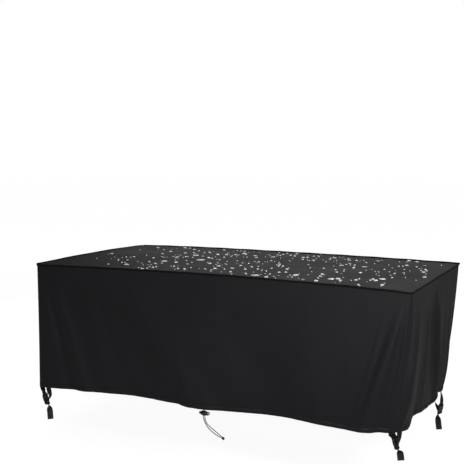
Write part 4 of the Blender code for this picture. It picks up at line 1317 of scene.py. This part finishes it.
def makeDrops(values, field):
    water, _, shader = startMaterial("water", waterPaintedGlintFinish)[:3]
    shader["IOR"].default_value = waterPaintedGlintFinish["bending"]
    columns, rows = field["cells"]
    across, down = np.meshgrid(np.linspace(*field["across"], columns), np.linspace(*field["down"], rows))
    height = topHeight(across, down) + lift + topWaves(across, down)
    points = np.stack([across, down, height + field["above"]], axis=-1)
    piece = gridPiece("waterDrops", points, points[..., :2], water)
    tree = makeDropTree(dropShape, field["thinning"])
    spread(piece, tree, {**values, "Finish": water})


makeDrops(drops, dropField)
print("water drops made")

# The light and the floor.
lightPlan = {
    "world": 0.10,
    "seen": 1.0,
    "floor": -0.965,
    "floorReach": 60.0,
    "floorTone": (0.20, 0.20, 0.20, 1),
    "glowNear": 0.89,  # the floor's own light under the cover, and far off, where it meets the white
    "glowFar": 0.97,
    "glowShare": 0.22,  # of it that lights the cover
    "glowReach": (2.0, 9.0),
    "areas": (
        # name, place, looks at, width, height, watts
        ("key", (2.8, -1.1, 0.9), (0.9, -0.4, -0.1), 0.5, 0.7, 36),
        ("front", (1.4, -4.2, 0.2), (0.3, -0.5, -0.5), 1.2, 1.6, 118),
        ("overhead", (0.0, 0.6, 4.2), (0.0, 0.0, -0.5), 3.6, 3.0, 98),
        ("rear", (-1.2, 4.4, -0.5), (0.0, 0.5, -0.5), 1.8, 0.7, 80),
        ("left", (-4.4, 0.5, -0.5), (-1.0, 0.0, -0.5), 1.8, 0.7, 60),
        ("behind", (-2.0, 6.0, 1.7), (-0.5, 0.0, 0.0), 5.5, 2.2, 26),
    ),
}


def makeLights(plan):
    world = bpy.data.worlds.new("studio")
    bpy.context.scene.world = world
    world.use_nodes = True
    tree = world.node_tree
    lit, seen = tree.nodes["Background"], add(tree, "ShaderNodeBackground")
    for node, strength in ((lit, plan["world"]), (seen, plan["seen"])):
        node.inputs["Color"].default_value = (1, 1, 1, 1)
        node.inputs["Strength"].default_value = strength
    pick, path = add(tree, "ShaderNodeMixShader"), add(tree, "ShaderNodeLightPath")
    wire(tree, [
        (path.outputs["Is Camera Ray"], pick.inputs[0]),
        (lit.outputs[0], pick.inputs[1]),
        (seen.outputs[0], pick.inputs[2]),
        (pick.outputs[0], tree.nodes["World Output"].inputs["Surface"]),
    ])
    for name, place, target, width, height, watts in plan["areas"]:
        light = bpy.data.lights.new(name, "AREA")
        light.shape = "RECTANGLE"
        light.size, light.size_y, light.energy = width, height, watts
        lamp = linked(name, light)
        lamp.location = place
        lamp.rotation_euler = (Vector(target) - Vector(place)).to_track_quat("-Z", "Y").to_euler()
    bpy.context.scene.view_settings.view_transform = "Standard"


def makeFloor(plan):
    mesh = bpy.data.meshes.new("floor")
    r = plan["floorReach"]
    mesh.from_pydata([(-r, -r, 0), (r, -r, 0), (r, r, 0), (-r, r, 0)], [], [(0, 1, 2, 3)])
    floor = linked("floor", mesh)
    floor.location.z = plan["floor"]
    made = bpy.data.materials.new("paleFloor")
    made.use_nodes = True
    tree = made.node_tree
    shader = tree.nodes["Principled BSDF"].inputs
    white = {"Base Color": plan["floorTone"], "Roughness": 0.9, "Specular IOR Level": 0.2}
    for label, value in {**white, "Emission Color": (1, 1, 1, 1)}.items():
        shader[label].default_value = value
    away = add(tree, "ShaderNodeVectorMath", operation="LENGTH")
    limits = (*plan["glowReach"], plan["glowNear"], plan["glowFar"])
    limits = dict(zip(("From Min", "From Max", "To Min", "To Max"), limits))
    glow = add(tree, "ShaderNodeMapRange", limits, interpolation_type="SMOOTHSTEP")
    seen = add(tree, "ShaderNodeLightPath").outputs["Is Camera Ray"]
    share = mathNode(tree, "MAXIMUM", seen, plan["glowShare"])
    wire(tree, [
        (add(tree, "ShaderNodeTexCoord").outputs["Object"], away.inputs[0]),
        (away.outputs["Value"], glow.inputs["Value"]),
        (mathNode(tree, "MULTIPLY", glow.outputs["Result"], share), shader["Emission Strength"]),
    ])
    mesh.materials.append(made)


makeLights(lightPlan)
makeFloor(lightPlan)
